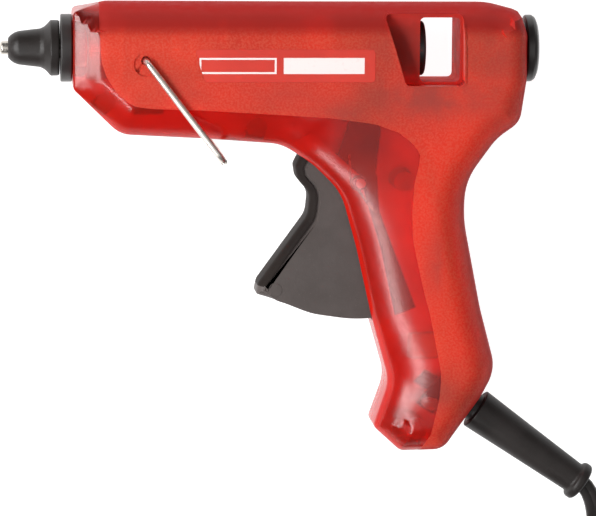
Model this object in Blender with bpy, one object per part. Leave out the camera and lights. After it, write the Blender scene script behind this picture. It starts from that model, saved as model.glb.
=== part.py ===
"""Hot glue gun with wire stand and flat two-core lead, lying on its right side.

+X runs from the nozzle to the glue inlet, +Y from the grip to the top of the
barrel, +Z from the right side of the gun to the left. Metres.
Drawing coordinates u, v, w are millimetres: u along the barrel, v up from the
barrel's axis, w out of the parting plane towards the left side.
"""

import math

import bmesh
import bpy
import numpy as np
from mathutils import Matrix, Vector
from mathutils.geometry import delaunay_2d_cdt

MM = 0.001
U0, V0, W0 = 0.685, -64.942, 19.0  # drawing point that lies over the frame's origin
GAP = 0.3  # clearance between pieces that touch
SPLIT = 0.15  # half of the parting line
WALL = 2.0

W_BARREL, W_GRIP = 16.3, 19.0
V_FLARE_TOP, V_FLARE_END = -22.0, -52.0

# barrel line, all about u
TIP_U, TIP_R = -93.8, 2.15
RING_U = (-75.1, -71.5)
RING_R = 10.65
CHAMBER = (-68.0, -21.0, 9.0)
STICK_R = 5.9
HOSE = (-20.6, 0.2, 7.9)
INLET = (50.6, 74.9, 8.0)
INLET_RING_R = 10.55

# trigger
PIVOT = (18.4, -41.3)
TRIGGER_W = 8.4
TRIGGER_SWEEP_R = 43.6
SLOT_W = 9.2

# feed carriage
DISC = (36.2, 39.2, 8.6)
SLEEVE = (10.2, 36.2, 7.9)
PIN = (22.5, -11.2)

# stand
STAND_PIVOT = (-49.0, -2.8)
STAND_END = (-24.6, -34.4)
STAND_W = 17.72
WIRE_R = 1.03

# screws on the right side
SCREWS = [(-61.0, -15.6), (-14.0, -23.6), (31.8, -40.6), (60.6, -13.6), (36.6, -118.6)]
BOSS_R = 3.1

# window
WINDOW = [(25.6, 11.2), (50.7, 11.2), (50.9, -10.6), (32.2, -10.6)]
WINDOW_THROUGH = [(36.9, 9.9), (49.9, 9.9), (49.9, -10.0), (36.9, -10.0)]

# cord
CORD_D = 5.4
CORD_AXIS = (56.9, -115.0)
CORD_ANGLE = -35.4
COIL_C = (66.0, -217.0)
COIL_R = 31.0
COIL_W = -11.4  # middle of the coil
PLUG_U, PLUG_V, PLUG_W = 0.0, -226.4, -12.1

# housing outline: u, v, corner radius, height of the upright wall, width of the sloped border, how flat its slope is
OUTLINE = [
    (-71.3, 12.0, 1.6, 12.2, 8.6, 0.9),
    (-61.6, 14.7, 12.0, 1.6, 13.4, 0.0),
    (0.0, 14.6, 0.0, 0.8, 13.6, 0.0),
    (59.2, 14.6, 22.0, 0.8, 13.4, 0.0),
    (68.4, 12.0, 1.2, 5.0, 11.0, 0.0),
    (69.0, 10.4, 0.8, 9.0, 8.0, 0.0),
    (70.7, 5.0, 4.0, 10.0, 7.0, 0.0),
    (70.7, -9.0, 6.0, 10.0, 7.0, 0.0),
    (69.8, -22.6, 7.0, 4.0, 10.0, 0.0),
    (62.0, -28.6, 18.0, 3.0, 11.0, 0.0),
    (52.6, -41.5, 22.0, 3.0, 11.0, 0.0),
    (52.0, -53.5, 40.0, 3.0, 11.0, 0.0),
    (57.6, -82.0, 60.0, 3.0, 11.0, 0.0),
    (62.9, -102.0, 12.0, 3.0, 10.5, 0.0),
    (57.6, -111.2, 26.0, 4.0, 10.0, 0.0),
    (45.4, -126.7, 6.0, 9.0, 7.0, 0.2),
    (31.8, -126.7, 3.5, 10.5, 8.0, 0.3),
    (23.4, -119.2, 2.0, 8.5, 13.0, 0.3),
    (28.4, -104.8, 12.0, 8.0, 16.0, 0.3),
    (22.5, -83.9, 60.0, 9.9, 17.2, 0.3),
    (17.4, -61.5, 80.0, 9.9, 17.6, 0.3),
    (12.6, -44.6, 18.0, 9.9, 19.0, 0.3),
    (3.6, -35.6, 26.0, 9.9, 17.0, 0.3),
    (-6.4, -29.3, 14.0, 9.4, 11.5, 0.3),
    (-31.0, -27.8, 0.0, 7.5, 9.8, 0.35),
    (-56.8, -26.4, 9.0, 8.5, 9.2, 0.5),
    (-71.3, -12.0, 2.0, 12.2, 8.6, 0.9),
]


# ---------------------------------------------------------------- 2D helpers
def rounded(corners, chord=0.12, reach=6.0):
    """Corner list with radii to a dense closed loop; extra values ride along."""
    n = len(corners)
    out = []
    for i, c in enumerate(corners):
        p = np.array(c[:2], float)
        a = np.array(corners[i - 1][:2], float)
        b = np.array(corners[(i + 1) % n][:2], float)
        r, extra = c[2], np.array(c[3:], float)
        da, db = a - p, b - p
        la, lb = np.linalg.norm(da), np.linalg.norm(db)
        da, db = da / la, db / lb
        half = 0.5 * math.acos(max(-1, min(1, float(da @ db))))
        if r <= 0 or half > math.pi / 2 - 1e-3:
            out.append((p, extra))
            continue
        cut = min(r / math.tan(half), 0.49 * la, 0.49 * lb)
        r = cut * math.tan(half)
        mid = da + db
        centre = p + mid / np.linalg.norm(mid) * r / math.sin(half)
        s, e = p + da * cut, p + db * cut
        a0 = math.atan2(*(s - centre)[::-1])
        turn = math.atan2(*(e - centre)[::-1]) - a0
        turn = (turn + math.pi) % (2 * math.pi) - math.pi
        k = max(1, math.ceil(abs(turn) / (2 * math.acos(max(0.0, 1 - chord / r)))))
        k = max(k, math.ceil(abs(turn) * r / reach))
        for j in range(k + 1):
            t = a0 + turn * j / k
            out.append((centre + r * np.array([math.cos(t), math.sin(t)]), extra))
    pts, ext = [], []
    m = len(out)
    for i in range(m):
        (p, e), (q, f) = out[i], out[(i + 1) % m]
        d = np.linalg.norm(q - p)
        if d < 0.02:
            continue
        k = max(1, math.ceil(d / reach))
        for j in range(k):
            pts.append(p + (q - p) * j / k)
            ext.append(e + (f - e) * j / k)
    return np.array(pts), np.array(ext)


def signed_area(p):
    q = np.roll(p, -1, 0)
    return 0.5 * float((p[:, 0] * q[:, 1] - q[:, 0] * p[:, 1]).sum())


def near(points, loop):
    """Distance to a closed loop, edge index and place along it; inside test."""
    a, b = loop, np.roll(loop, -1, 0)
    ab = b - a
    ap = points[:, None] - a[None]
    t = np.clip((ap * ab).sum(2) / (ab**2).sum(1), 0, 1)
    d = np.linalg.norm(ap - t[..., None] * ab, axis=2)
    k = d.argmin(1)
    rows = np.arange(len(points))
    x, y = points[:, 0:1], points[:, 1:2]
    cross = (a[None, :, 1] > y) != (b[None, :, 1] > y)
    with np.errstate(divide="ignore", invalid="ignore"):
        at = a[None, :, 0] + (y - a[None, :, 1]) * ab[None, :, 0] / ab[None, :, 1]
    inside = (cross & (x < at)).sum(1) % 2 == 1
    return d[rows, k], k, t[rows, k], inside


def normals_in(loop):
    e = np.roll(loop, -1, 0) - loop
    e /= np.linalg.norm(e, axis=1)[:, None]
    t = e + np.roll(e, 1, 0)
    t /= np.linalg.norm(t, axis=1)[:, None]
    return np.stack([-t[:, 1], t[:, 0]], 1)


def half_width(p):
    s = np.clip((V_FLARE_TOP - p[:, 1]) / (V_FLARE_TOP - V_FLARE_END), 0, 1)
    return W_BARREL + (W_GRIP - W_BARREL) * s * s * (3 - 2 * s)


def height(p, loop, ext, inset=0.0):
    """Height of the housing's surface over the parting plane, inset from the outer one."""
    d, k, t, _ = near(p, loop)
    e = ext[k] * (1 - t[:, None]) + ext[(k + 1) % len(loop)] * t[:, None]
    wall = np.maximum(e[:, 0] - inset, 0.6)
    r = np.maximum(e[:, 1] - 0.6 * inset, 2.0)
    top = half_width(p) - inset
    q = np.clip(1 - d / r, 0, 1)
    rise = (1 - e[:, 2]) * np.sqrt(1 - q * q) + e[:, 2] * (1 - q)
    return wall + (top - wall) * rise


def spread(loop, ext, rings, grid, r_of):
    """Points inside a loop: rows along the rounded edge, then a grid."""
    pts = []
    nrm = normals_in(loop)
    for i in range(1, rings + 1):
        step = 1 - math.cos(math.pi / 2 * i / rings)
        off = (r_of(ext) * step)[:, None]
        p = loop + nrm * off
        d, _, _, ins = near(p, loop)
        pts.append(p[ins & (d > off[:, 0] * 0.97 - 0.02)])
    lo, hi = loop.min(0), loop.max(0)
    gx, gy = np.meshgrid(np.arange(lo[0] + grid / 2, hi[0], grid), np.arange(lo[1] + grid / 2, hi[1], grid))
    g = np.stack([gx.ravel(), gy.ravel()], 1)
    d, k, t, ins = near(g, loop)
    r = r_of(ext)[k]
    pts.append(g[ins & (d > r + grid * 0.35)])
    p = np.concatenate(pts)
    keep = []
    least = grid * 0.16
    cells = {}
    for q in p:
        c = (int(q[0] // least), int(q[1] // least))
        if any(
            np.hypot(*(q - o)) < least
            for i in (-1, 0, 1)
            for j in (-1, 0, 1)
            for o in cells.get((c[0] + i, c[1] + j), [])
        ):
            continue
        cells.setdefault(c, []).append(q)
        keep.append(q)
    return np.array(keep)


def pillow(loop, ext, rings, grid, inset, base):
    """Closed half body: flat face at w = base, upright wall, rounded edge, side."""
    inner = spread(loop, ext, rings, grid, lambda e: np.maximum(e[:, 1] - 0.6 * inset, 2.0))
    n = len(loop)
    pts = [Vector(p) for p in np.concatenate([loop, inner])]
    edges = [(i, (i + 1) % n) for i in range(n)]
    v2, _, f2, *_ = delaunay_2d_cdt(pts, edges, [], 1, 1e-6)
    xy = np.array([tuple(p) for p in v2])
    w = height(xy, loop, ext, inset)
    if inset:
        d, k, t, _ = near(xy, loop)
        e = ext[k] * (1 - t[:, None]) + ext[(k + 1) % len(loop)] * t[:, None]
        wall = np.maximum(e[:, 0] - inset, 0.6)
        w = np.where(d < 1e-4, wall, w)
    bm = bmesh.new()
    top = [bm.verts.new((x, y, h)) for (x, y), h in zip(xy, w)]
    for f in f2:
        bm.faces.new([top[i] for i in f])
    low = [bm.verts.new((p[0], p[1], base)) for p in loop]
    for i in range(n):
        j = (i + 1) % n
        bm.faces.new([low[i], low[j], top[j], top[i]])
    bm.faces.new(low[::-1])
    bmesh.ops.recalc_face_normals(bm, faces=bm.faces)
    bmesh.ops.triangulate(bm, faces=bm.faces)
    return bm


# ---------------------------------------------------------------- mesh helpers
def prism(pts, w0, w1):
    bm = bmesh.new()
    pts = np.array(pts, float)[:, :2]
    if signed_area(pts) < 0:
        pts = pts[::-1]
    a = [bm.verts.new((x, y, w0)) for x, y in pts]
    b = [bm.verts.new((x, y, w1)) for x, y in pts]
    n = len(a)
    bm.faces.new(a[::-1])
    bm.faces.new(b)
    for i in range(n):
        j = (i + 1) % n
        bm.faces.new([a[i], a[j], b[j], b[i]])
    return bm


def lathe(profile, seg, about="u", at=(0, 0), phase=0.0):
    """Turned solid or ring from a closed profile (along, radius)."""
    bm = bmesh.new()
    rows = []
    for s, r in profile:
        if r < 1e-6:
            rows.append([bm.verts.new(turned(s, 0, 0, about, at))])
        else:
            rows.append(
                [bm.verts.new(turned(s, r, phase + 2 * math.pi * i / seg, about, at)) for i in range(seg)]
            )
    n = len(rows)
    for k in range(n):
        a, b = rows[k], rows[(k + 1) % n]
        if len(a) == 1 and len(b) == 1:
            continue
        for i in range(seg):
            j = (i + 1) % seg
            q = [a[i % len(a)], a[j % len(a)], b[j % len(b)], b[i % len(b)]]
            f = []
            for x in q:
                if x not in f:
                    f.append(x)
            bm.faces.new(f)
    bmesh.ops.recalc_face_normals(bm, faces=bm.faces)
    return bm


def turned(s, r, a, about, at):
    if about == "u":
        return (s, at[0] + r * math.sin(a), at[1] + r * math.cos(a))
    if about == "w":
        return (at[0] + r * math.cos(a), at[1] + r * math.sin(a), s)
    raise ValueError(about)


def block(u0, u1, v0, v1, w0, w1, bevel=0.0):
    bm = bmesh.new()
    bmesh.ops.create_cube(bm, size=1)
    for v in bm.verts:
        v.co = Vector(
            (
                u0 + (u1 - u0) * (v.co.x + 0.5),
                v0 + (v1 - v0) * (v.co.y + 0.5),
                w0 + (w1 - w0) * (v.co.z + 0.5),
            )
        )
    if bevel:
        bmesh.ops.bevel(bm, geom=bm.edges[:], offset=bevel, segments=1, affect="EDGES")
    return bm


def tube(points, radius, seg=10, flat=1.0):
    """Round or flattened bar along a path, with square ends."""
    p = [Vector(q) for q in points]
    bm = bmesh.new()
    rows = []
    side = None
    for i, q in enumerate(p):
        t = (p[min(i + 1, len(p) - 1)] - p[max(i - 1, 0)]).normalized()
        if side is None:
            side = t.cross(Vector((0, 0, 1)))
            if side.length < 0.1:
                side = t.cross(Vector((1, 0, 0)))
        side = (side - t * side.dot(t)).normalized()
        up = t.cross(side)
        rows.append(
            [
                bm.verts.new(
                    q
                    + side * (radius * math.cos(2 * math.pi * k / seg))
                    + up * (radius * flat * math.sin(2 * math.pi * k / seg))
                )
                for k in range(seg)
            ]
        )
    for a, b in zip(rows, rows[1:]):
        for k in range(seg):
            j = (k + 1) % seg
            bm.faces.new([a[k], a[j], b[j], b[k]])
    bm.faces.new(rows[0][::-1])
    bm.faces.new(rows[-1])
    bmesh.ops.recalc_face_normals(bm, faces=bm.faces)
    return bm


def smooth_path(points, step):
    """Catmull-Rom through the points, then even steps."""
    p = [np.array(q, float) for q in points]
    p = [2 * p[0] - p[1]] + p + [2 * p[-1] - p[-2]]
    fine = []
    for i in range(1, len(p) - 2):
        for j in range(24):
            t = j / 24
            a, b, c, d = p[i - 1], p[i], p[i + 1], p[i + 2]
            fine.append(
                0.5 * (2 * b + (c - a) * t + (2 * a - 5 * b + 4 * c - d) * t * t + (3 * b - a - 3 * c + d) * t**3)
            )
    fine.append(p[-2])
    fine = np.array(fine)
    s = np.concatenate([[0], np.cumsum(np.linalg.norm(np.diff(fine, axis=0), axis=1))])
    n = max(2, round(s[-1] / step))
    at = np.linspace(0, s[-1], n + 1)
    return [tuple(np.interp(x, s, fine[:, k]) for k in range(3)) for x in at]


def turn_mesh(bm, angle, at):
    m = Matrix.Translation((at[0], at[1], 0)) @ Matrix.Rotation(math.radians(angle), 4, "Z") @ Matrix.Translation(
        (-at[0], -at[1], 0)
    )
    bmesh.ops.transform(bm, matrix=m, verts=bm.verts)
    return bm


# ---------------------------------------------------------------- objects
MATERIALS = {}


def material(slot, colour, rough, metal=0.0):
    m = bpy.data.materials.new(slot)
    m.use_nodes = True
    b = m.node_tree.nodes["Principled BSDF"]
    b.inputs["Base Color"].default_value = (*colour, 1)
    b.inputs["Roughness"].default_value = rough
    b.inputs["Metallic"].default_value = metal
    MATERIALS[slot] = m


def obj(name, bm, slot=None, at=(U0, V0)):
    """Object from drawing millimetres; its origin over the drawing point at, on the parting plane."""
    org = Vector(((at[0] - U0) * MM, (at[1] - V0) * MM, W0 * MM if at != (U0, V0) else 0.0))
    for v in bm.verts:
        v.co = Vector(((v.co.x - U0) * MM, (v.co.y - V0) * MM, (v.co.z + W0) * MM)) - org
    me = bpy.data.meshes.new(name)
    bm.to_mesh(me)
    bm.free()
    me.shade_smooth()
    me.set_sharp_from_angle(angle=math.radians(34))
    o = bpy.data.objects.new(name, me)
    bpy.context.scene.collection.objects.link(o)
    o.location = org
    if slot:
        me.materials.append(MATERIALS[slot])
    return o


def lead(name, points, slot):
    """Cord stretch: a round curve with capped ends through drawing points."""
    cu = bpy.data.curves.new(name, "CURVE")
    cu.dimensions = "3D"
    cu.bevel_depth = CORD_D / 2 * MM
    cu.bevel_resolution = 2
    cu.resolution_u = 1
    cu.render_resolution_u = 0
    cu.use_fill_caps = True
    sp = cu.splines.new("POLY")
    sp.points.add(len(points) - 1)
    for q, (x, y, z) in zip(sp.points, points):
        q.co = ((x - U0) * MM, (y - V0) * MM, (z + W0) * MM, 1.0)
    o = bpy.data.objects.new(name, cu)
    bpy.context.scene.collection.objects.link(o)
    cu.materials.append(MATERIALS[slot])
    return o


def boolean(bm, other, how):
    """Applies one exact boolean to drawing-space meshes and returns the result."""
    a = temp(bm)
    b = temp(other)
    m = a.modifiers.new("cut", "BOOLEAN")
    m.object = b
    m.operation = how
    m.solver = "EXACT"
    deps = bpy.context.evaluated_depsgraph_get()
    me = bpy.data.meshes.new_from_object(a.evaluated_get(deps))
    out = bmesh.new()
    out.from_mesh(me)
    bpy.data.meshes.remove(me)
    for o in (a, b):
        d = o.data
        bpy.data.objects.remove(o)
        bpy.data.meshes.remove(d)
    bmesh.ops.remove_doubles(out, verts=out.verts, dist=1e-4)
    bmesh.ops.dissolve_degenerate(out, dist=1e-4, edges=out.edges)
    return out


def temp(bm):
    me = bpy.data.meshes.new("temp")
    bm.to_mesh(me)
    bm.free()
    o = bpy.data.objects.new("temp", me)
    bpy.context.scene.collection.objects.link(o)
    return o


def flip_w(bm):
    for v in bm.verts:
        v.co.z = -v.co.z
    bmesh.ops.reverse_faces(bm, faces=bm.faces)
    return bm


def disc(c, r, w0, w1, seg=20):
    return lathe([(w0, 0), (w0, r), (w1, r), (w1, 0)], seg, "w", c)


# ---------------------------------------------------------------- housing
def housing(left):
    loop, ext = rounded(OUTLINE, 0.2, 12.0)
    if signed_area(loop) < 0:
        loop, ext = loop[::-1], ext[::-1]
    outer = pillow(loop, ext, 3, 11.0, 0.0, SPLIT)
    # the hollow: the same outline drawn in by the wall
    lin, ein = rounded(OUTLINE, 0.5, 14.0)
    if signed_area(lin) < 0:
        lin, ein = lin[::-1], ein[::-1]
    lin = lin + normals_in(lin) * WALL
    hollow = pillow(lin, ein, 2, 14.0, WALL, -5.0)
    # bosses and frames end inside the wall, in a body half the wall's depth in
    core = pillow(lin - normals_in(lin) * (0.5 * WALL), ein, 2, 14.0, 0.5 * WALL, SPLIT + 0.25)
    shell = boolean(outer, hollow, "DIFFERENCE")

    # screw bosses, window frame, pin boss, all kept inside the outer surface
    for c in SCREWS:
        boss = boolean(disc(c, BOSS_R, -1, 30, 16), core.copy(), "INTERSECT")
        shell = boolean(shell, boss, "UNION")
    post = boolean(disc(PIVOT, 3.6, 12.0, 30, 16), core.copy(), "INTERSECT")
    shell = boolean(shell, post, "UNION")
    # a tunnel through the window, closed on its left by a panel beside the carriage
    frame, _ = rounded([(*p, 2.6) for p in grown(WINDOW, 1.5)], 0.1, 30)
    tunnel = boolean(prism(frame, 9.1, 30), core.copy(), "INTERSECT")
    shell = boolean(shell, tunnel, "UNION")
    # raised rim round the window
    lip, _ = rounded([(*p, 2.4) for p in grown(WINDOW, 0.9)], 0.1, 30)
    shell = boolean(shell, boolean(prism(lip, 9.6, 30), raised(loop, ext), "INTERSECT"), "UNION")
    # openings
    recess, _ = rounded([(*p, 1.6) for p in WINDOW], 0.08, 30)
    shell = boolean(shell, prism(recess, 10.4, 30), "DIFFERENCE")
    thru, _ = rounded([(*p, 1.0) for p in WINDOW_THROUGH], 0.08, 30)
    shell = boolean(shell, prism(thru, -1, 30), "DIFFERENCE")
    shell = boolean(shell, lathe([(-80, 0), (-80, 8.6), (-66, 8.6), (-66, 0)], 28), "DIFFERENCE")
    shell = boolean(shell, lathe([(60, 0), (60, 8.35), (80, 8.35), (80, 0)], 28), "DIFFERENCE")
    slot = [(-8.0, -35.5), (-2.6, -28.4), (3.0, -25.0), (19.0, -39.0), (26.0, -62.0), (31.0, -84.6), (14.0, -86.4)]
    slot = slot + [(4.0, -60.0)]
    shell = boolean(shell, prism(slot, -1, SLOT_W), "DIFFERENCE")
    shell = boolean(shell, disc(STAND_PIVOT, 1.45, 4, 30, 16), "DIFFERENCE")
    shell = boolean(shell, disc(PIVOT, 1.62, -1, 14.2, 16), "DIFFERENCE")
    hole = lathe([(-6, 0), (-6, 5.0), (40, 5.0), (40, 0)], 20)
    bmesh.ops.translate(hole, verts=hole.verts, vec=(CORD_AXIS[0], CORD_AXIS[1], 0))
    shell = boolean(shell, turn_mesh(hole, CORD_ANGLE, CORD_AXIS), "DIFFERENCE")
    for c in SCREWS:
        if left:
            shell = boolean(shell, disc(c, 1.35, -1, 9.5, 10), "DIFFERENCE")
        else:
            shell = boolean(shell, disc(c, 1.8, -1, 30, 12), "DIFFERENCE")
            shell = boolean(shell, disc(c, 3.0, 5.5, 30, 14), "DIFFERENCE")
    if left:
        shell = boolean(shell, prism(label_shape(0.3), W_BARREL - 0.9, 30), "DIFFERENCE")
    else:
        shell = flip_w(shell)
    core.free()
    return shell


def raised(loop, ext):
    """Body of the left side 0.5 mm outside the housing's surface, for the window rim."""
    bm = pillow(loop, ext, 3, 11.0, 0.0, SPLIT)
    for v in bm.verts:
        if v.co.z > SPLIT + 0.01:
            v.co.z += 0.5
    return bm


def grown(pts, d):
    """Polygon (clockwise or not) moved outwards by d."""
    p = np.array(pts, float)
    if signed_area(p) < 0:
        p = p[::-1]
    out = []
    n = len(p)
    for i in range(n):
        a, b, c = p[i - 1], p[i], p[(i + 1) % n]
        e, f = (b - a) / np.linalg.norm(b - a), (c - b) / np.linalg.norm(c - b)
        ne, nf = np.array([e[1], -e[0]]), np.array([f[1], -f[0]])
        m = ne + nf
        out.append(tuple(b + m * d / (1 + float(ne @ nf))))
    return out


def label_shape(extra):
    corners = [(-33.6, 0.5), (22.2, 0.5), (22.2, -9.3), (-30.6, -9.3)]
    return rounded([(*p, 1.0) for p in grown(corners, extra)], 0.1, 40)[0]


# ---------------------------------------------------------------- build
def clear():
    for o in list(bpy.data.objects):
        bpy.data.objects.remove(o)
    for me in list(bpy.data.meshes):
        bpy.data.meshes.remove(me)


def trigger_mesh():
    p = PIVOT
    arc = []
    a1 = math.atan2(-84.6 - p[1], 12.7 - p[0])
    a2 = math.atan2(-80.6 - p[1], 37.0 - p[0])
    for i in range(6):
        a = a1 + (a2 - a1) * i / 5
        arc.append((p[0] + TRIGGER_SWEEP_R * math.cos(a), p[1] + TRIGGER_SWEEP_R * math.sin(a)))
    front = [
        (4.5, -30.2, 1.5), (1.4, -31.0, 1.4), (-1.3, -36.8, 2.0), (-0.5, -40.4, 4.0), (4.1, -45.0, 5.0), (3.5, -52.2, 7.0),
        (-11.9, -74.0, 4.0), (-13.0, -77.3, 0.8), (-4.7, -79.9, 30.0), (3.6, -83.2, 24.0),
    ]
    back = [(33.0, -70.0, 0), (25.4, -50.0, 8.0), (24.2, -38.0, 5.0), (18.0, -33.6, 4.0)]
    corners = front + [(x, y, 0) for x, y in arc] + back
    loop, _ = rounded(corners, 0.12, 9)
    if signed_area(loop) < 0:
        loop = loop[::-1]
    # the finger side's edges are rounded over by easing the outline in near the cheeks
    nrm = normals_in(loop)
    ease = np.clip((5.0 - loop[:, 0]) / 4.0, 0, 1) * np.clip((loop[:, 1] + 80.0) / 3.0, 0, 1)
    rows = []
    bm = bmesh.new()
    for w, c in ((-TRIGGER_W, 1.5), (-TRIGGER_W + 0.6, 0.5), (-TRIGGER_W + 1.8, 0.0), (TRIGGER_W - 1.8, 0.0), (TRIGGER_W - 0.6, 0.5), (TRIGGER_W, 1.5)):
        q = loop + nrm * (ease * c)[:, None]
        rows.append([bm.verts.new((x, y, w)) for x, y in q])
    for lo, hi in zip(rows, rows[1:]):
        for i in range(len(loop)):
            j = (i + 1) % len(loop)
            bm.faces.new([lo[i], lo[j], hi[j], hi[i]])
    bm.faces.new(rows[0][::-1])
    bm.faces.new(rows[-1])
    bmesh.ops.triangulate(bm, faces=bm.faces)
    # hollow from behind, closed towards the finger
    bm = boolean(
        bm,
        prism([(7.6, -52.0), (24.0, -52.0), (44.0, -66.0), (44.0, -90.0), (27.0, -81.5), (4.0, -79.5), (-6.5, -74.0)], -6.4, 6.4),
        "DIFFERENCE",
    )
    # two arms up to the carriage pin
    for s in (-1, 1):
        lo, hi = (6.5, TRIGGER_W) if s > 0 else (-TRIGGER_W, -6.5)
        arm = rounded(
            [(12.0, -44.0, 0), (11.5, -34.0, 3), (18.6, -9.6, 0.5), (PIN[0] + 3.8, -7.3, 2.5), (25.4, -14.0, 4), (23.8, -40.0, 0)],
            0.15, 30,
        )[0]
        bm = boolean(bm, prism(arm, lo, hi), "UNION")
    slot = rounded(
        [(PIN[0] - 1.75, PIN[1] - 2.2, 1.7), (PIN[0] + 1.75, PIN[1] - 2.2, 1.7), (PIN[0] + 1.75, PIN[1] + 2.2, 1.7), (PIN[0] - 1.75, PIN[1] + 2.2, 1.7)],
        0.1, 30,
    )[0]
    bm = boolean(bm, prism(slot, -20, 20), "DIFFERENCE")
    # room between the arms for the carriage lug, and the pivot bore
    bm = boolean(bm, block(-10, 40, -33.0, 0, -6.5, 6.5), "DIFFERENCE")
    bm = boolean(bm, disc(PIVOT, 1.62, -20, 20, 16), "DIFFERENCE")
    return bm


def carriage_mesh():
    u0, u1, r = SLEEVE
    d0, d1, dr = DISC
    bm = lathe(
        [(u0, STICK_R), (u0, r - 0.8), (u0 + 0.8, r), (d0 - 0.4, r), (d0, dr - 0.6), (d0 + 0.6, dr), (d1 - 0.6, dr), (d1, dr - 0.6), (d1, STICK_R)],
        28,
    )
    lug = block(PIN[0] - 3.6, PIN[0] + 3.6, PIN[1] - 2.8, -6.6, -5.6, 5.6)
    bm = boolean(bm, lug, "UNION")
    bm = boolean(bm, disc(PIN, 1.56, -20, 20, 16), "DIFFERENCE")
    # a slot on top for the jaw
    bm = boolean(bm, block(24.0, 33.0, 3.0, 20, -2.9, 2.9), "DIFFERENCE")
    return bm


def sleeve_cord():
    """Tapered bend sleeve with a flange inside the grip and a rolled end."""
    prof = [
        (-7.6, 3.1), (-7.6, 6.6), (-5.6, 6.6), (-5.6, 4.6), (0.4, 4.6), (0.4, 6.6), (16.0, 5.9), (39.4, 4.9),
        (40.1, 5.8), (40.8, 6.3), (42.2, 6.3), (42.9, 5.7), (42.9, 4.3), (36.0, 3.1),
    ]
    bm = lathe(prof, 20)
    bmesh.ops.translate(bm, verts=bm.verts, vec=(CORD_AXIS[0], CORD_AXIS[1], 0))
    return turn_mesh(bm, CORD_ANGLE, CORD_AXIS)


def along_cord(s, off=0.0, w=0.0):
    a = math.radians(CORD_ANGLE)
    return (
        CORD_AXIS[0] + s * math.cos(a) - off * math.sin(a),
        CORD_AXIS[1] + s * math.sin(a) + off * math.cos(a),
        w,
    )


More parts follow.
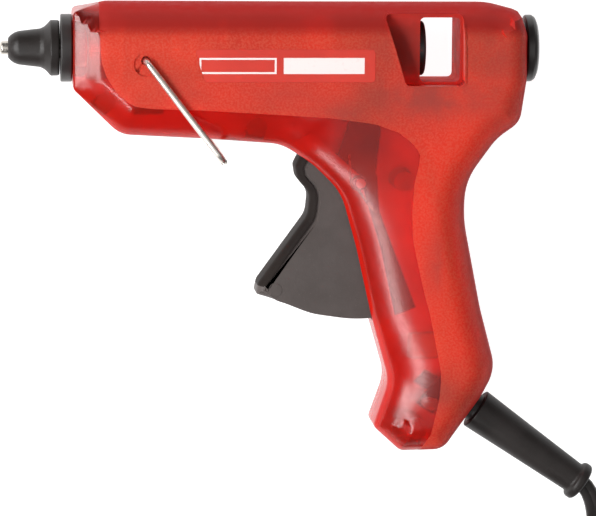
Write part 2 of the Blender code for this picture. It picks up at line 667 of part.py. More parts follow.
def main():
    clear()
    material("shell", (0.55, 0.03, 0.02), 0.35)
    material("black_plastic", (0.02, 0.02, 0.02), 0.5)
    material("grey_plastic", (0.09, 0.085, 0.085), 0.6)
    material("silicone", (0.015, 0.015, 0.015), 0.7)
    material("red_silicone", (0.5, 0.08, 0.05), 0.6)
    material("steel", (0.6, 0.6, 0.6), 0.3, 1.0)
    material("aluminium", (0.75, 0.75, 0.75), 0.4, 1.0)
    material("brass", (0.7, 0.5, 0.2), 0.3, 1.0)
    material("ceramic", (0.8, 0.78, 0.7), 0.6)
    material("cord", (0.03, 0.03, 0.03), 0.5)

    obj("housing_left", housing(True), "shell")
    obj("housing_right", housing(False), "shell")
    obj("label_panel", prism(label_shape(0.0), W_BARREL - 0.6, W_BARREL), "shell")

    # nozzle end
    t = TIP_U
    obj(
        "nozzle_body",
        lathe(
            [
                (t + 0.9, 1.15), (t, 1.35), (t, 1.7), (t + 0.5, TIP_R), (-85.8, TIP_R), (-85.0, 5.1), (-76.0, 5.1), (-76.0, 4.3),
                (-68.3, 4.3), (-68.3, 2.1), (t + 3.9, 2.1), (t + 2.6, 1.95),
            ],
            24,
        ),
        "steel",
    )
    obj("valve_ball", ball(t + 2.15, 1.45), "steel", (t + 2.15, 0.0))
    obj("valve_spring", spring(t + 4.7, -74.0, 1.35, 0.28, 7), "steel")
    obj(
        "nozzle_cap",
        lathe(
            [
                (-91.2, 2.46), (-91.4, 3.0), (-90.6, 4.1), (-89.4, 5.0), (-88.0, 5.6), (-81.2, 6.4), (-79.4, 7.4), (-78.3, 8.5),
                (-77.9, 8.7), (-75.9, 8.7), (-75.4, 8.4), (-75.4, 5.42), (-85.6, 5.42), (-86.6, 2.46),
            ],
            24,
        ),
        "silicone",
    )
    a, b = RING_U
    obj(
        "nozzle_flange_ring",
        lathe(
            [
                (a, 4.62), (a, RING_R - 0.5), (a + 0.4, RING_R), (b - 0.4, RING_R), (b, RING_R - 0.4), (b, 8.2), (-68.4, 8.2), (-68.4, 4.62),
            ],
            28,
        ),
        "black_plastic",
    )
    a, b, r = CHAMBER
    obj(
        "melt_chamber",
        lathe(
            [(a, 2.6), (a, 7.4), (a + 3, 7.4), (a + 3, r), (-26, r), (-26, 7.4), (b, 7.4), (b, STICK_R), (-60, STICK_R - 0.4), (-64, 2.6)],
            24,
        ),
        "aluminium",
    )
    obj("front_support", plate_ring(-57.4, -55.4, 9.3, 12.0), "ceramic")
    obj("rear_support", plate_ring(-25.4, -23.4, 7.75, 12.0), "ceramic")
    obj("heater_element", block(-54.6, -32.0, -13.2, -9.4, -5.5, 5.5), "ceramic")
    obj("heater_clip", clip_mesh(), "steel")
    obj("thermal_fuse", lathe([(-52, 0), (-52, 1.6), (-43, 1.6), (-43, 0)], 12, "u", (-16.4, 0.0)), "steel")
    a, b, r = HOSE
    obj("inlet_hose", lathe([(a, STICK_R), (a, r), (b - 1.0, r), (b, r - 0.8), (b, STICK_R)], 24), "red_silicone")
    obj("hose_clip", lathe([(-13.0, r + 0.25), (-13.0, r + 1.25), (-10.4, r + 1.25), (-10.4, r + 0.25)], 24), "steel")

    # glue inlet
    a, b, r = INLET
    obj(
        "rear_inlet_ring",
        lathe(
            [
                (a, 6.6), (a, r - 0.3), (a + 0.4, r), (71.1, r), (71.1, INLET_RING_R - 0.5), (71.5, INLET_RING_R), (73.1, INLET_RING_R),
                (74.2, 9.9), (b, 8.3), (b, 6.9), (74.0, 6.1), (52.4, 6.0),
            ],
            28,
        ),
        "black_plastic",
    )

    # trigger and carriage
    obj("trigger", trigger_mesh(), "grey_plastic", PIVOT)
    obj("trigger_pin", disc(PIVOT, 1.5, -13.8, 13.8, 14), "steel")
    obj("trigger_spring", torsion(), "steel")
    obj("feed_carriage", carriage_mesh(), "black_plastic", PIN)
    obj("carriage_pin", disc(PIN, 1.45, -8.9, 8.9, 14), "steel", PIN)
    obj("feed_jaw", block(24.5, 32.5, 6.2, 9.6, -2.5, 2.5, 0.5), "steel", PIN)

    # stand
    obj("stand", tube(stand_path(), WIRE_R, 8), "steel", STAND_PIVOT)

    # screws
    for i, c in enumerate(SCREWS):
        obj(f"housing_screw_{i + 1}", screw(c), "steel")

    # cord entry
    obj("strain_relief", sleeve_cord(), "black_plastic")
    clampc = along_cord(-13.5)
    obj("cable_clamp", clamp(), "black_plastic")
    for i, s in enumerate((-1, 1)):
        q = along_cord(-13.5, s * 6.2)
        obj(f"clamp_screw_{i + 1}", lathe([(-6.0, 0), (-6.0, 1.1), (5.1, 1.1), (5.1, 2.1), (6.7, 2.1), (6.7, 0)], 12, "w", q[:2]), "steel")
    obj("terminal_block", block(36.8, 46.8, -97.2, -89.2, -6.5, 6.5, 0.6), "ceramic")
    for name, s in (("heater_lead_a", 1), ("heater_lead_b", -1)):
        pts = [
            (44.5, -88.6, 6.0 * s), (46.4, -80.0, 10.0 * s), (46.0, -68.0, 10.9 * s), (43.0, -52.0, 10.9 * s), (40.5, -38.0, 10.9 * s),
            (33.0, -24.0, 11.4 * s), (18.0, -19.6, 11.0 * s), (-10.0, -18.0, 9.4 * s), (-30.0, -15.8, 7.4 * s), (-36.0, -13.8, 7.0 * s),
            (-41.0, -11.6, 7.0 * s),
        ]
        obj(name, tube(smooth_path(pts, 9.0), 0.85, 6), "red_silicone")

    # cord, coil and plug
    run = cord_points()
    lead("cord_run", run, "cord")
    c = COIL_C
    ring = lathe(
        [(COIL_W + 6.5 * math.sin(x), COIL_R + 6.4 * math.cos(x)) for x in [2 * math.pi * (i + 0.5) / 10 for i in range(10)]],
        28, "w", c,
    )
    obj("cord_coil", ring, "cord")
    tie = coil_tie()
    obj("coil_tie", tie, "black_plastic")
    plug()


def ball(u, r):
    prof = []
    for i in range(9):
        a = math.pi * i / 8
        prof.append((u - r * math.cos(a), 0.0 if i in (0, 8) else r * math.sin(a)))
    return lathe(prof, 14)


def spring(u0, u1, r, wire, turns):
    n = turns * 7
    pts = []
    for i in range(n + 1):
        a = 2 * math.pi * turns * i / n
        pts.append((u0 + (u1 - u0) * i / n, r * math.cos(a), r * math.sin(a)))
    return tube(pts, wire, 4)


def torsion():
    """Coil round the trigger pin outside the trigger's left cheek, one leg to the slot's edge, one to the trigger."""
    pts = [(PIVOT[0] - 3.2, PIVOT[1] + 9.0, 9.15)]
    turns, r = 1.2, 2.2
    for i in range(int(turns * 10) + 1):
        a = math.radians(200) + 2 * math.pi * i / 10
        pts.append((PIVOT[0] + r * math.cos(a), PIVOT[1] + r * math.sin(a), 9.15 + 0.9 * i / (turns * 10)))
    pts.append((PIVOT[0] + 4.6, PIVOT[1] - 8.4, 10.05))
    return tube(pts, 0.36, 6)


def plate_ring(u0, u1, r0, r1):
    return lathe([(u0, r0), (u0, r1), (u1, r1), (u1, r0)], 24)


def clip_mesh():
    """Spring band round the chamber and the heater."""
    t = 0.8
    inner, outer = [], []
    for i in range(13):
        a = math.radians(-25 + 230 * i / 12)
        inner.append((9.35 * math.cos(a), 9.35 * math.sin(a)))
        outer.append(((9.35 + t) * math.cos(a), (9.35 + t) * math.sin(a)))
    inner = [(5.9, -13.6), (5.9, -9.5)] + inner + [(-5.9, -9.5), (-5.9, -13.6)]
    outer = [(6.7, -14.4), (6.7, -8.6)] + outer + [(-6.7, -8.6), (-6.7, -14.4)]
    loop = outer + inner[::-1]
    bm = bmesh.new()
    a = [bm.verts.new((-50.0, v, w)) for w, v in loop]
    b = [bm.verts.new((-42.0, v, w)) for w, v in loop]
    n = len(a)
    for i in range(n):
        j = (i + 1) % n
        bm.faces.new([a[i], a[j], b[j], b[i]])
    bm.faces.new(a[::-1])
    bm.faces.new(b)
    bmesh.ops.recalc_face_normals(bm, faces=bm.faces)
    bmesh.ops.triangulate(bm, faces=bm.faces)
    return bm


def stand_path():
    (pu, pv), (eu, ev) = STAND_PIVOT, STAND_END
    d = np.array([eu - pu, ev - pv]) / math.hypot(eu - pu, ev - pv)
    length = math.hypot(eu - pu, ev - pv)
    r = 2.6

    def at(s, w):
        return (pu + d[0] * s, pv + d[1] * s, w)

    half = [(0.0, 11.6), (0.0, STAND_W - r)]
    for i in range(1, 5):
        a = math.pi / 2 * i / 4
        half.append((r - r * math.cos(a), STAND_W - r + r * math.sin(a)))
    half.append((length / 2, STAND_W))
    r2 = 4.0
    half.append((length - r2, STAND_W))
    for i in range(1, 6):
        a = math.pi / 2 * i / 5
        half.append((length - r2 + r2 * math.sin(a), STAND_W - r2 + r2 * math.cos(a)))
    pts = [at(s, w) for s, w in half]
    return pts + [(x, y, -w) for x, y, w in pts[::-1]]


def screw(c):
    """Pan head in its counterbore on the right side, shaft into the left boss."""
    bm = lathe([(-8.4, 0), (-8.4, 2.4), (-7.9, 2.7), (-5.8, 2.7), (-5.8, 1.05), (8.6, 1.05), (8.6, 0)], 10, "w", c)
    return bm


def clamp():
    c = along_cord(-13.5)
    bm = block(c[0] - 2.6, c[0] + 2.6, c[1] - 8.6, c[1] + 8.6, 3.1, 4.7, 0.3)
    bm = boolean(bm, block(c[0] - 2.6, c[0] + 2.6, c[1] - 8.6, c[1] + 8.6, -7.6, -3.1, 0.3), "UNION")
    bm = boolean(bm, block(c[0] - 2.6, c[0] + 2.6, c[1] + 3.4, c[1] + 4.6, -3.6, 3.6), "UNION")
    bm = turn_mesh(bm, CORD_ANGLE, c)
    for s in (-1, 1):
        q = along_cord(-13.5, s * 6.2)
        bm = boolean(bm, disc(q[:2], 1.4, -20, 20, 12), "DIFFERENCE")
    return bm


def cord_points():
    pts = [
        along_cord(-20.0), along_cord(-6.0), along_cord(16.0), along_cord(36.0), along_cord(43.6),
        (95.2, -144.9, -0.8), (96.8, -151.0, -3.4), (98.6, -160.0, -8.0), (101.2, -172.0, -12.4), (104.2, -186.0, -15.4),
        (106.2, -196.0, -16.0), (105.4, -204.6, -15.6),
    ]
    return smooth_path(pts, 11.0)


def coil_tie():
    """Flat band once round the coil's bundle."""
    a = math.radians(118)
    inner = [(COIL_R - 6.8, -18.2), (COIL_R + 6.8, -18.2), (COIL_R + 6.8, COIL_W + 6.9), (COIL_R - 6.8, COIL_W + 6.9)]
    outer = [(COIL_R - 7.6, -19.0), (COIL_R + 7.6, -19.0), (COIL_R + 7.6, COIL_W + 7.7), (COIL_R - 7.6, COIL_W + 7.7)]
    bm = bmesh.new()
    ca, sa = math.cos(a), math.sin(a)
    rows = []
    for half in (-2.4, 2.4):
        for loop in (inner, outer):
            rows.append(
                [bm.verts.new((COIL_C[0] + r * ca - half * sa, COIL_C[1] + r * sa + half * ca, w)) for r, w in loop]
            )
    i0, o0, i1, o1 = rows
    for k in range(4):
        j = (k + 1) % 4
        for p, q in ((i0, o0), (o0, o1), (o1, i1), (i1, i0)):
            bm.faces.new([p[k], p[j], q[j], q[k]])
    bmesh.ops.recalc_face_normals(bm, faces=bm.faces)
    return bm


def plug():
    u, v, w = PLUG_U, PLUG_V, PLUG_W
    pts = [(31.2, -240.4, -16.2), (24.4, -234.2, -15.8), (17.6, -228.9, -13.6), (13.0, v - 0.2, w - 0.1), (10.6, v, w), (8.7, v, w)]
    lead("cord_tail", smooth_path(pts, 5.5), "cord")
    corners = [
        (u + 8.2, v - 3.6, 1.0), (u + 8.2, v + 3.6, 1.0), (u - 1.0, v + 6.5, 4.0), (u - 18.0, v + 12.0, 10.0), (u - 29.0, v + 17.4, 6.0),
        (u - 36.0, v + 17.4, 1.5), (u - 36.0, v - 17.4, 1.5), (u - 29.0, v - 17.4, 6.0), (u - 18.0, v - 12.0, 10.0), (u - 1.0, v - 6.5, 4.0),
    ]
    loop, _ = rounded(corners, 0.15, 30)
    bm = prism(loop, w - 6.8, w + 6.8)
    edges = [e for e in bm.edges if abs(e.verts[0].co.z - e.verts[1].co.z) < 1e-6]
    bmesh.ops.bevel(bm, geom=edges, offset=1.6, segments=2, affect="EDGES")
    obj("plug_body", bm, "black_plastic")
    for i, s in enumerate((-1, 1)):
        y = v + 9.5 * s
        obj(f"plug_pin_{i + 1}", lathe([(u - 36.3, 0), (u - 36.3, 1.9), (u - 54.0, 1.9), (u - 55.0, 1.2), (u - 55.0, 0)], 14, "u", (y, w)), "brass")


main()
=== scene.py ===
"""Looks of a hot glue gun with a translucent red shell, wire stand and flat lead.

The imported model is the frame; drawing coordinates u, v, w are millimetres: u
along the barrel, v up from its axis, w out of the parting plane to the left side.
"""

import math

import bmesh
import bpy
import numpy as np
from mathutils import Matrix, Vector
from mathutils.geometry import delaunay_2d_cdt


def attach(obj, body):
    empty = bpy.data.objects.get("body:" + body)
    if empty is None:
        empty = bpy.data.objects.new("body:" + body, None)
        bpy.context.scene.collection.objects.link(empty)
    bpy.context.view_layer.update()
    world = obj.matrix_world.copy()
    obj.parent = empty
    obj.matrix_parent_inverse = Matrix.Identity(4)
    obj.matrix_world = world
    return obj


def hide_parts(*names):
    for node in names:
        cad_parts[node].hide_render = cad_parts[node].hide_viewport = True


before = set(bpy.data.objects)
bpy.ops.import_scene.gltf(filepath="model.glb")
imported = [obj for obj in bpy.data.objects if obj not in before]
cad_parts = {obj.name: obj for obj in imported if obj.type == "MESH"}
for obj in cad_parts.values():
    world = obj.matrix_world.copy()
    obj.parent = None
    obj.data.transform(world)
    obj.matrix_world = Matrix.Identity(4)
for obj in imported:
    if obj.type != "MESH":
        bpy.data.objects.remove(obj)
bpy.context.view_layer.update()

MM = 0.001
U0, V0, W0 = 0.685, -64.942, 19.0  # drawing point that lies over the frame's origin
GAP = 0.3  # clearance between pieces that touch
SPLIT = 0.15  # half of the parting line
WALL = 2.0

W_BARREL, W_GRIP = 16.3, 19.0
V_FLARE_TOP, V_FLARE_END = -22.0, -52.0

# barrel line, all about u
TIP_U, TIP_R = -93.8, 2.15
RING_U = (-75.1, -71.5)
RING_R = 10.65
CHAMBER = (-68.0, -21.0, 9.0)
STICK_R = 5.9
HOSE = (-20.6, 0.2, 7.9)
INLET = (50.6, 74.9, 8.0)
INLET_RING_R = 10.55

# trigger
PIVOT = (18.4, -41.3)
TRIGGER_W = 8.4
TRIGGER_SWEEP_R = 43.6
SLOT_W = 9.2

# feed carriage
DISC = (36.2, 39.2, 8.6)
SLEEVE = (10.2, 36.2, 7.9)
PIN = (22.5, -11.2)

# stand
STAND_PIVOT = (-49.0, -2.8)
STAND_END = (-24.6, -34.4)
STAND_W = 17.72
WIRE_R = 1.03

# screws on the right side
SCREWS = [(-61.0, -15.6), (-14.0, -23.6), (31.8, -40.6), (60.6, -13.6), (36.6, -118.6)]
BOSS_R = 3.1

# window
WINDOW = [(25.6, 11.2), (50.7, 11.2), (50.9, -10.6), (32.2, -10.6)]
WINDOW_THROUGH = [(36.9, 9.9), (49.9, 9.9), (49.9, -10.0), (36.9, -10.0)]

# cord
CORD_D = 5.4
CORD_AXIS = (56.9, -115.0)
CORD_ANGLE = -35.4
COIL_C = (66.0, -217.0)
COIL_R = 31.0
COIL_W = -11.4  # middle of the coil
PLUG_U, PLUG_V, PLUG_W = 0.0, -226.4, -12.1

# housing outline: u, v, corner radius, height of the upright wall, width of the sloped border, how flat its slope is
OUTLINE = [
    (-71.3, 12.0, 1.6, 12.2, 8.6, 0.9),
    (-61.6, 14.7, 12.0, 1.6, 13.4, 0.0),
    (0.0, 14.6, 0.0, 0.8, 13.6, 0.0),
    (59.2, 14.6, 22.0, 0.8, 13.4, 0.0),
    (68.4, 12.0, 1.2, 5.0, 11.0, 0.0),
    (69.0, 10.4, 0.8, 9.0, 8.0, 0.0),
    (70.7, 5.0, 4.0, 10.0, 7.0, 0.0),
    (70.7, -9.0, 6.0, 10.0, 7.0, 0.0),
    (69.8, -22.6, 7.0, 4.0, 10.0, 0.0),
    (62.0, -28.6, 18.0, 3.0, 11.0, 0.0),
    (52.6, -41.5, 22.0, 3.0, 11.0, 0.0),
    (52.0, -53.5, 40.0, 3.0, 11.0, 0.0),
    (57.6, -82.0, 60.0, 3.0, 11.0, 0.0),
    (62.9, -102.0, 12.0, 3.0, 10.5, 0.0),
    (57.6, -111.2, 26.0, 4.0, 10.0, 0.0),
    (45.4, -126.7, 6.0, 9.0, 7.0, 0.2),
    (31.8, -126.7, 3.5, 10.5, 8.0, 0.3),
    (23.4, -119.2, 2.0, 8.5, 13.0, 0.3),
    (28.4, -104.8, 12.0, 8.0, 16.0, 0.3),
    (22.5, -83.9, 60.0, 9.9, 17.2, 0.3),
    (17.4, -61.5, 80.0, 9.9, 17.6, 0.3),
    (12.6, -44.6, 18.0, 9.9, 19.0, 0.3),
    (3.6, -35.6, 26.0, 9.9, 17.0, 0.3),
    (-6.4, -29.3, 14.0, 9.4, 11.5, 0.3),
    (-31.0, -27.8, 0.0, 7.5, 9.8, 0.35),
    (-56.8, -26.4, 9.0, 8.5, 9.2, 0.5),
    (-71.3, -12.0, 2.0, 12.2, 8.6, 0.9),
]


# ---------------------------------------------------------------- 2D helpers
def rounded(corners, chord=0.12, reach=6.0):
    """Corner list with radii to a dense closed loop; extra values ride along."""
    n = len(corners)
    out = []
    for i, c in enumerate(corners):
        p = np.array(c[:2], float)
        a = np.array(corners[i - 1][:2], float)
        b = np.array(corners[(i + 1) % n][:2], float)
        r, extra = c[2], np.array(c[3:], float)
        da, db = a - p, b - p
        la, lb = np.linalg.norm(da), np.linalg.norm(db)
        da, db = da / la, db / lb
        half = 0.5 * math.acos(max(-1, min(1, float(da @ db))))
        if r <= 0 or half > math.pi / 2 - 1e-3:
            out.append((p, extra))
            continue
        cut = min(r / math.tan(half), 0.49 * la, 0.49 * lb)
        r = cut * math.tan(half)
        mid = da + db
        centre = p + mid / np.linalg.norm(mid) * r / math.sin(half)
        s, e = p + da * cut, p + db * cut
        a0 = math.atan2(*(s - centre)[::-1])
        turn = math.atan2(*(e - centre)[::-1]) - a0
        turn = (turn + math.pi) % (2 * math.pi) - math.pi
        k = max(1, math.ceil(abs(turn) / (2 * math.acos(max(0.0, 1 - chord / r)))))
        k = max(k, math.ceil(abs(turn) * r / reach))
        for j in range(k + 1):
            t = a0 + turn * j / k
            out.append((centre + r * np.array([math.cos(t), math.sin(t)]), extra))
    pts, ext = [], []
    m = len(out)
    for i in range(m):
        (p, e), (q, f) = out[i], out[(i + 1) % m]
        d = np.linalg.norm(q - p)
        if d < 0.02:
            continue
        k = max(1, math.ceil(d / reach))
        for j in range(k):
            pts.append(p + (q - p) * j / k)
            ext.append(e + (f - e) * j / k)
    return np.array(pts), np.array(ext)


def signed_area(p):
    q = np.roll(p, -1, 0)
    return 0.5 * float((p[:, 0] * q[:, 1] - q[:, 0] * p[:, 1]).sum())


def near(points, loop):
    """Distance to a closed loop, edge index and place along it; inside test."""
    a, b = loop, np.roll(loop, -1, 0)
    ab = b - a
    ap = points[:, None] - a[None]
    t = np.clip((ap * ab).sum(2) / (ab**2).sum(1), 0, 1)
    d = np.linalg.norm(ap - t[..., None] * ab, axis=2)
    k = d.argmin(1)
    rows = np.arange(len(points))
    x, y = points[:, 0:1], points[:, 1:2]
    cross = (a[None, :, 1] > y) != (b[None, :, 1] > y)
    with np.errstate(divide="ignore", invalid="ignore"):
        at = a[None, :, 0] + (y - a[None, :, 1]) * ab[None, :, 0] / ab[None, :, 1]
    inside = (cross & (x < at)).sum(1) % 2 == 1
    return d[rows, k], k, t[rows, k], inside


def normals_in(loop):
    e = np.roll(loop, -1, 0) - loop
    e /= np.linalg.norm(e, axis=1)[:, None]
    t = e + np.roll(e, 1, 0)
    t /= np.linalg.norm(t, axis=1)[:, None]
    return np.stack([-t[:, 1], t[:, 0]], 1)


def half_width(p):
    s = np.clip((V_FLARE_TOP - p[:, 1]) / (V_FLARE_TOP - V_FLARE_END), 0, 1)
    return W_BARREL + (W_GRIP - W_BARREL) * s * s * (3 - 2 * s)


def height(p, loop, ext, inset=0.0):
    """Height of the housing's surface over the parting plane, inset from the outer one."""
    d, k, t, _ = near(p, loop)
    e = ext[k] * (1 - t[:, None]) + ext[(k + 1) % len(loop)] * t[:, None]
    wall = np.maximum(e[:, 0] - inset, 0.6)
    r = np.maximum(e[:, 1] - 0.6 * inset, 2.0)
    top = half_width(p) - inset
    q = np.clip(1 - d / r, 0, 1)
    rise = (1 - e[:, 2]) * np.sqrt(1 - q * q) + e[:, 2] * (1 - q)
    return wall + (top - wall) * rise


def spread(loop, ext, rings, grid, r_of):
    """Points inside a loop: rows along the rounded edge, then a grid."""
    pts = []
    nrm = normals_in(loop)
    for i in range(1, rings + 1):
        step = 1 - math.cos(math.pi / 2 * i / rings)
        off = (r_of(ext) * step)[:, None]
        p = loop + nrm * off
        d, _, _, ins = near(p, loop)
        pts.append(p[ins & (d > off[:, 0] * 0.97 - 0.02)])
    lo, hi = loop.min(0), loop.max(0)
    gx, gy = np.meshgrid(np.arange(lo[0] + grid / 2, hi[0], grid), np.arange(lo[1] + grid / 2, hi[1], grid))
    g = np.stack([gx.ravel(), gy.ravel()], 1)
    d, k, t, ins = near(g, loop)
    r = r_of(ext)[k]
    pts.append(g[ins & (d > r + grid * 0.35)])
    p = np.concatenate(pts)
    keep = []
    least = grid * 0.16
    cells = {}
    for q in p:
        c = (int(q[0] // least), int(q[1] // least))
        if any(
            np.hypot(*(q - o)) < least
            for i in (-1, 0, 1)
            for j in (-1, 0, 1)
            for o in cells.get((c[0] + i, c[1] + j), [])
        ):
            continue
        cells.setdefault(c, []).append(q)
        keep.append(q)
    return np.array(keep)


def pillow(loop, ext, rings, grid, inset, base):
    """Closed half body: flat face at w = base, upright wall, rounded edge, side."""
    inner = spread(loop, ext, rings, grid, lambda e: np.maximum(e[:, 1] - 0.6 * inset, 2.0))
    n = len(loop)
    pts = [Vector(p) for p in np.concatenate([loop, inner])]
    edges = [(i, (i + 1) % n) for i in range(n)]
    v2, _, f2, *_ = delaunay_2d_cdt(pts, edges, [], 1, 1e-6)
    xy = np.array([tuple(p) for p in v2])
    w = height(xy, loop, ext, inset)
    if inset:
        d, k, t, _ = near(xy, loop)
        e = ext[k] * (1 - t[:, None]) + ext[(k + 1) % len(loop)] * t[:, None]
        wall = np.maximum(e[:, 0] - inset, 0.6)
        w = np.where(d < 1e-4, wall, w)
    bm = bmesh.new()
    top = [bm.verts.new((x, y, h)) for (x, y), h in zip(xy, w)]
    for f in f2:
        bm.faces.new([top[i] for i in f])
    low = [bm.verts.new((p[0], p[1], base)) for p in loop]
    for i in range(n):
        j = (i + 1) % n
        bm.faces.new([low[i], low[j], top[j], top[i]])
    bm.faces.new(low[::-1])
    bmesh.ops.recalc_face_normals(bm, faces=bm.faces)
    bmesh.ops.triangulate(bm, faces=bm.faces)
    return bm


# ---------------------------------------------------------------- mesh helpers
def prism(pts, w0, w1):
    bm = bmesh.new()
    pts = np.array(pts, float)[:, :2]
    if signed_area(pts) < 0:
        pts = pts[::-1]
    a = [bm.verts.new((x, y, w0)) for x, y in pts]
    b = [bm.verts.new((x, y, w1)) for x, y in pts]
    n = len(a)
    bm.faces.new(a[::-1])
    bm.faces.new(b)
    for i in range(n):
        j = (i + 1) % n
        bm.faces.new([a[i], a[j], b[j], b[i]])
    return bm


def lathe(profile, seg, about="u", at=(0, 0), phase=0.0):
    """Turned solid or ring from a closed profile (along, radius)."""
    bm = bmesh.new()
    rows = []
    for s, r in profile:
        if r < 1e-6:
            rows.append([bm.verts.new(turned(s, 0, 0, about, at))])
        else:
            rows.append(
                [bm.verts.new(turned(s, r, phase + 2 * math.pi * i / seg, about, at)) for i in range(seg)]
            )
    n = len(rows)
    for k in range(n):
        a, b = rows[k], rows[(k + 1) % n]
        if len(a) == 1 and len(b) == 1:
            continue
        for i in range(seg):
            j = (i + 1) % seg
            q = [a[i % len(a)], a[j % len(a)], b[j % len(b)], b[i % len(b)]]
            f = []
            for x in q:
                if x not in f:
                    f.append(x)
            bm.faces.new(f)
    bmesh.ops.recalc_face_normals(bm, faces=bm.faces)
    return bm


def turned(s, r, a, about, at):
    if about == "u":
        return (s, at[0] + r * math.sin(a), at[1] + r * math.cos(a))
    if about == "w":
        return (at[0] + r * math.cos(a), at[1] + r * math.sin(a), s)
    raise ValueError(about)


def block(u0, u1, v0, v1, w0, w1, bevel=0.0):
    bm = bmesh.new()
    bmesh.ops.create_cube(bm, size=1)
    for v in bm.verts:
        v.co = Vector(
            (
                u0 + (u1 - u0) * (v.co.x + 0.5),
                v0 + (v1 - v0) * (v.co.y + 0.5),
                w0 + (w1 - w0) * (v.co.z + 0.5),
            )
        )
    if bevel:
        bmesh.ops.bevel(bm, geom=bm.edges[:], offset=bevel, segments=1, affect="EDGES")
    return bm


def tube(points, radius, seg=10, flat=1.0):
    """Round or flattened bar along a path, with square ends."""
    p = [Vector(q) for q in points]
    bm = bmesh.new()
    rows = []
    side = None
    for i, q in enumerate(p):
        t = (p[min(i + 1, len(p) - 1)] - p[max(i - 1, 0)]).normalized()
        if side is None:
            side = t.cross(Vector((0, 0, 1)))
            if side.length < 0.1:
                side = t.cross(Vector((1, 0, 0)))
        side = (side - t * side.dot(t)).normalized()
        up = t.cross(side)
        rows.append(
            [
                bm.verts.new(
                    q
                    + side * (radius * math.cos(2 * math.pi * k / seg))
                    + up * (radius * flat * math.sin(2 * math.pi * k / seg))
                )
                for k in range(seg)
            ]
        )
    for a, b in zip(rows, rows[1:]):
        for k in range(seg):
            j = (k + 1) % seg
            bm.faces.new([a[k], a[j], b[j], b[k]])
    bm.faces.new(rows[0][::-1])
    bm.faces.new(rows[-1])
    bmesh.ops.recalc_face_normals(bm, faces=bm.faces)
    return bm


def smooth_path(points, step):
    """Catmull-Rom through the points, then even steps."""
    p = [np.array(q, float) for q in points]
    p = [2 * p[0] - p[1]] + p + [2 * p[-1] - p[-2]]
    fine = []
    for i in range(1, len(p) - 2):
        for j in range(24):
            t = j / 24
            a, b, c, d = p[i - 1], p[i], p[i + 1], p[i + 2]
            fine.append(
                0.5 * (2 * b + (c - a) * t + (2 * a - 5 * b + 4 * c - d) * t * t + (3 * b - a - 3 * c + d) * t**3)
            )
    fine.append(p[-2])
    fine = np.array(fine)
    s = np.concatenate([[0], np.cumsum(np.linalg.norm(np.diff(fine, axis=0), axis=1))])
    n = max(2, round(s[-1] / step))
    at = np.linspace(0, s[-1], n + 1)
    return [tuple(np.interp(x, s, fine[:, k]) for k in range(3)) for x in at]


def turn_mesh(bm, angle, at):
    m = Matrix.Translation((at[0], at[1], 0)) @ Matrix.Rotation(math.radians(angle), 4, "Z") @ Matrix.Translation(
        (-at[0], -at[1], 0)
    )
    bmesh.ops.transform(bm, matrix=m, verts=bm.verts)
    return bm


def flip_w(bm):
    for v in bm.verts:
        v.co.z = -v.co.z
    bmesh.ops.reverse_faces(bm, faces=bm.faces)
    return bm


def disc(c, r, w0, w1, seg=20):
    return lathe([(w0, 0), (w0, r), (w1, r), (w1, 0)], seg, "w", c)


def raised(loop, ext):
    """Body of the left side 0.5 mm outside the housing's surface, for the window rim."""
    bm = pillow(loop, ext, 3, 11.0, 0.0, SPLIT)
    for v in bm.verts:
        if v.co.z > SPLIT + 0.01:
            v.co.z += 0.5
    return bm


def grown(pts, d):
    """Polygon (clockwise or not) moved outwards by d."""
    p = np.array(pts, float)
    if signed_area(p) < 0:
        p = p[::-1]
    out = []
    n = len(p)
    for i in range(n):
        a, b, c = p[i - 1], p[i], p[(i + 1) % n]
        e, f = (b - a) / np.linalg.norm(b - a), (c - b) / np.linalg.norm(c - b)
        ne, nf = np.array([e[1], -e[0]]), np.array([f[1], -f[0]])
        m = ne + nf
        out.append(tuple(b + m * d / (1 + float(ne @ nf))))
    return out


def label_shape(extra):
    corners = [(-33.6, 0.5), (22.2, 0.5), (22.2, -9.3), (-30.6, -9.3)]
    return rounded([(*p, 1.0) for p in grown(corners, extra)], 0.1, 40)[0]


def along_cord(s, off=0.0, w=0.0):
    a = math.radians(CORD_ANGLE)
    return (
        CORD_AXIS[0] + s * math.cos(a) - off * math.sin(a),
        CORD_AXIS[1] + s * math.sin(a) + off * math.cos(a),
        w,
    )


def stand_path():
    (pu, pv), (eu, ev) = STAND_PIVOT, STAND_END
    d = np.array([eu - pu, ev - pv]) / math.hypot(eu - pu, ev - pv)
    length = math.hypot(eu - pu, ev - pv)
    r = 2.6

    def at(s, w):
        return (pu + d[0] * s, pv + d[1] * s, w)

    half = [(0.0, 11.6), (0.0, STAND_W - r)]
    for i in range(1, 5):
        a = math.pi / 2 * i / 4
        half.append((r - r * math.cos(a), STAND_W - r + r * math.sin(a)))
    half.append((length / 2, STAND_W))
    r2 = 4.0
    half.append((length - r2, STAND_W))
    for i in range(1, 6):
        a = math.pi / 2 * i / 5
        half.append((length - r2 + r2 * math.sin(a), STAND_W - r2 + r2 * math.cos(a)))
    pts = [at(s, w) for s, w in half]
    return pts + [(x, y, -w) for x, y, w in pts[::-1]]


def cord_points():
    pts = [
        along_cord(-20.0), along_cord(-6.0), along_cord(16.0), along_cord(36.0), along_cord(43.6),
        (95.2, -144.9, -0.8), (96.8, -151.0, -3.4), (98.6, -160.0, -8.0), (101.2, -172.0, -12.4), (104.2, -186.0, -15.4),
        (106.2, -196.0, -16.0), (105.4, -204.6, -15.6),
    ]
    return smooth_path(pts, 11.0)




# ---------------------------------------------------------------- scene helpers
def P(u, v, w):
    return Vector(((u - U0) * MM, (v - V0) * MM, (w + W0) * MM))


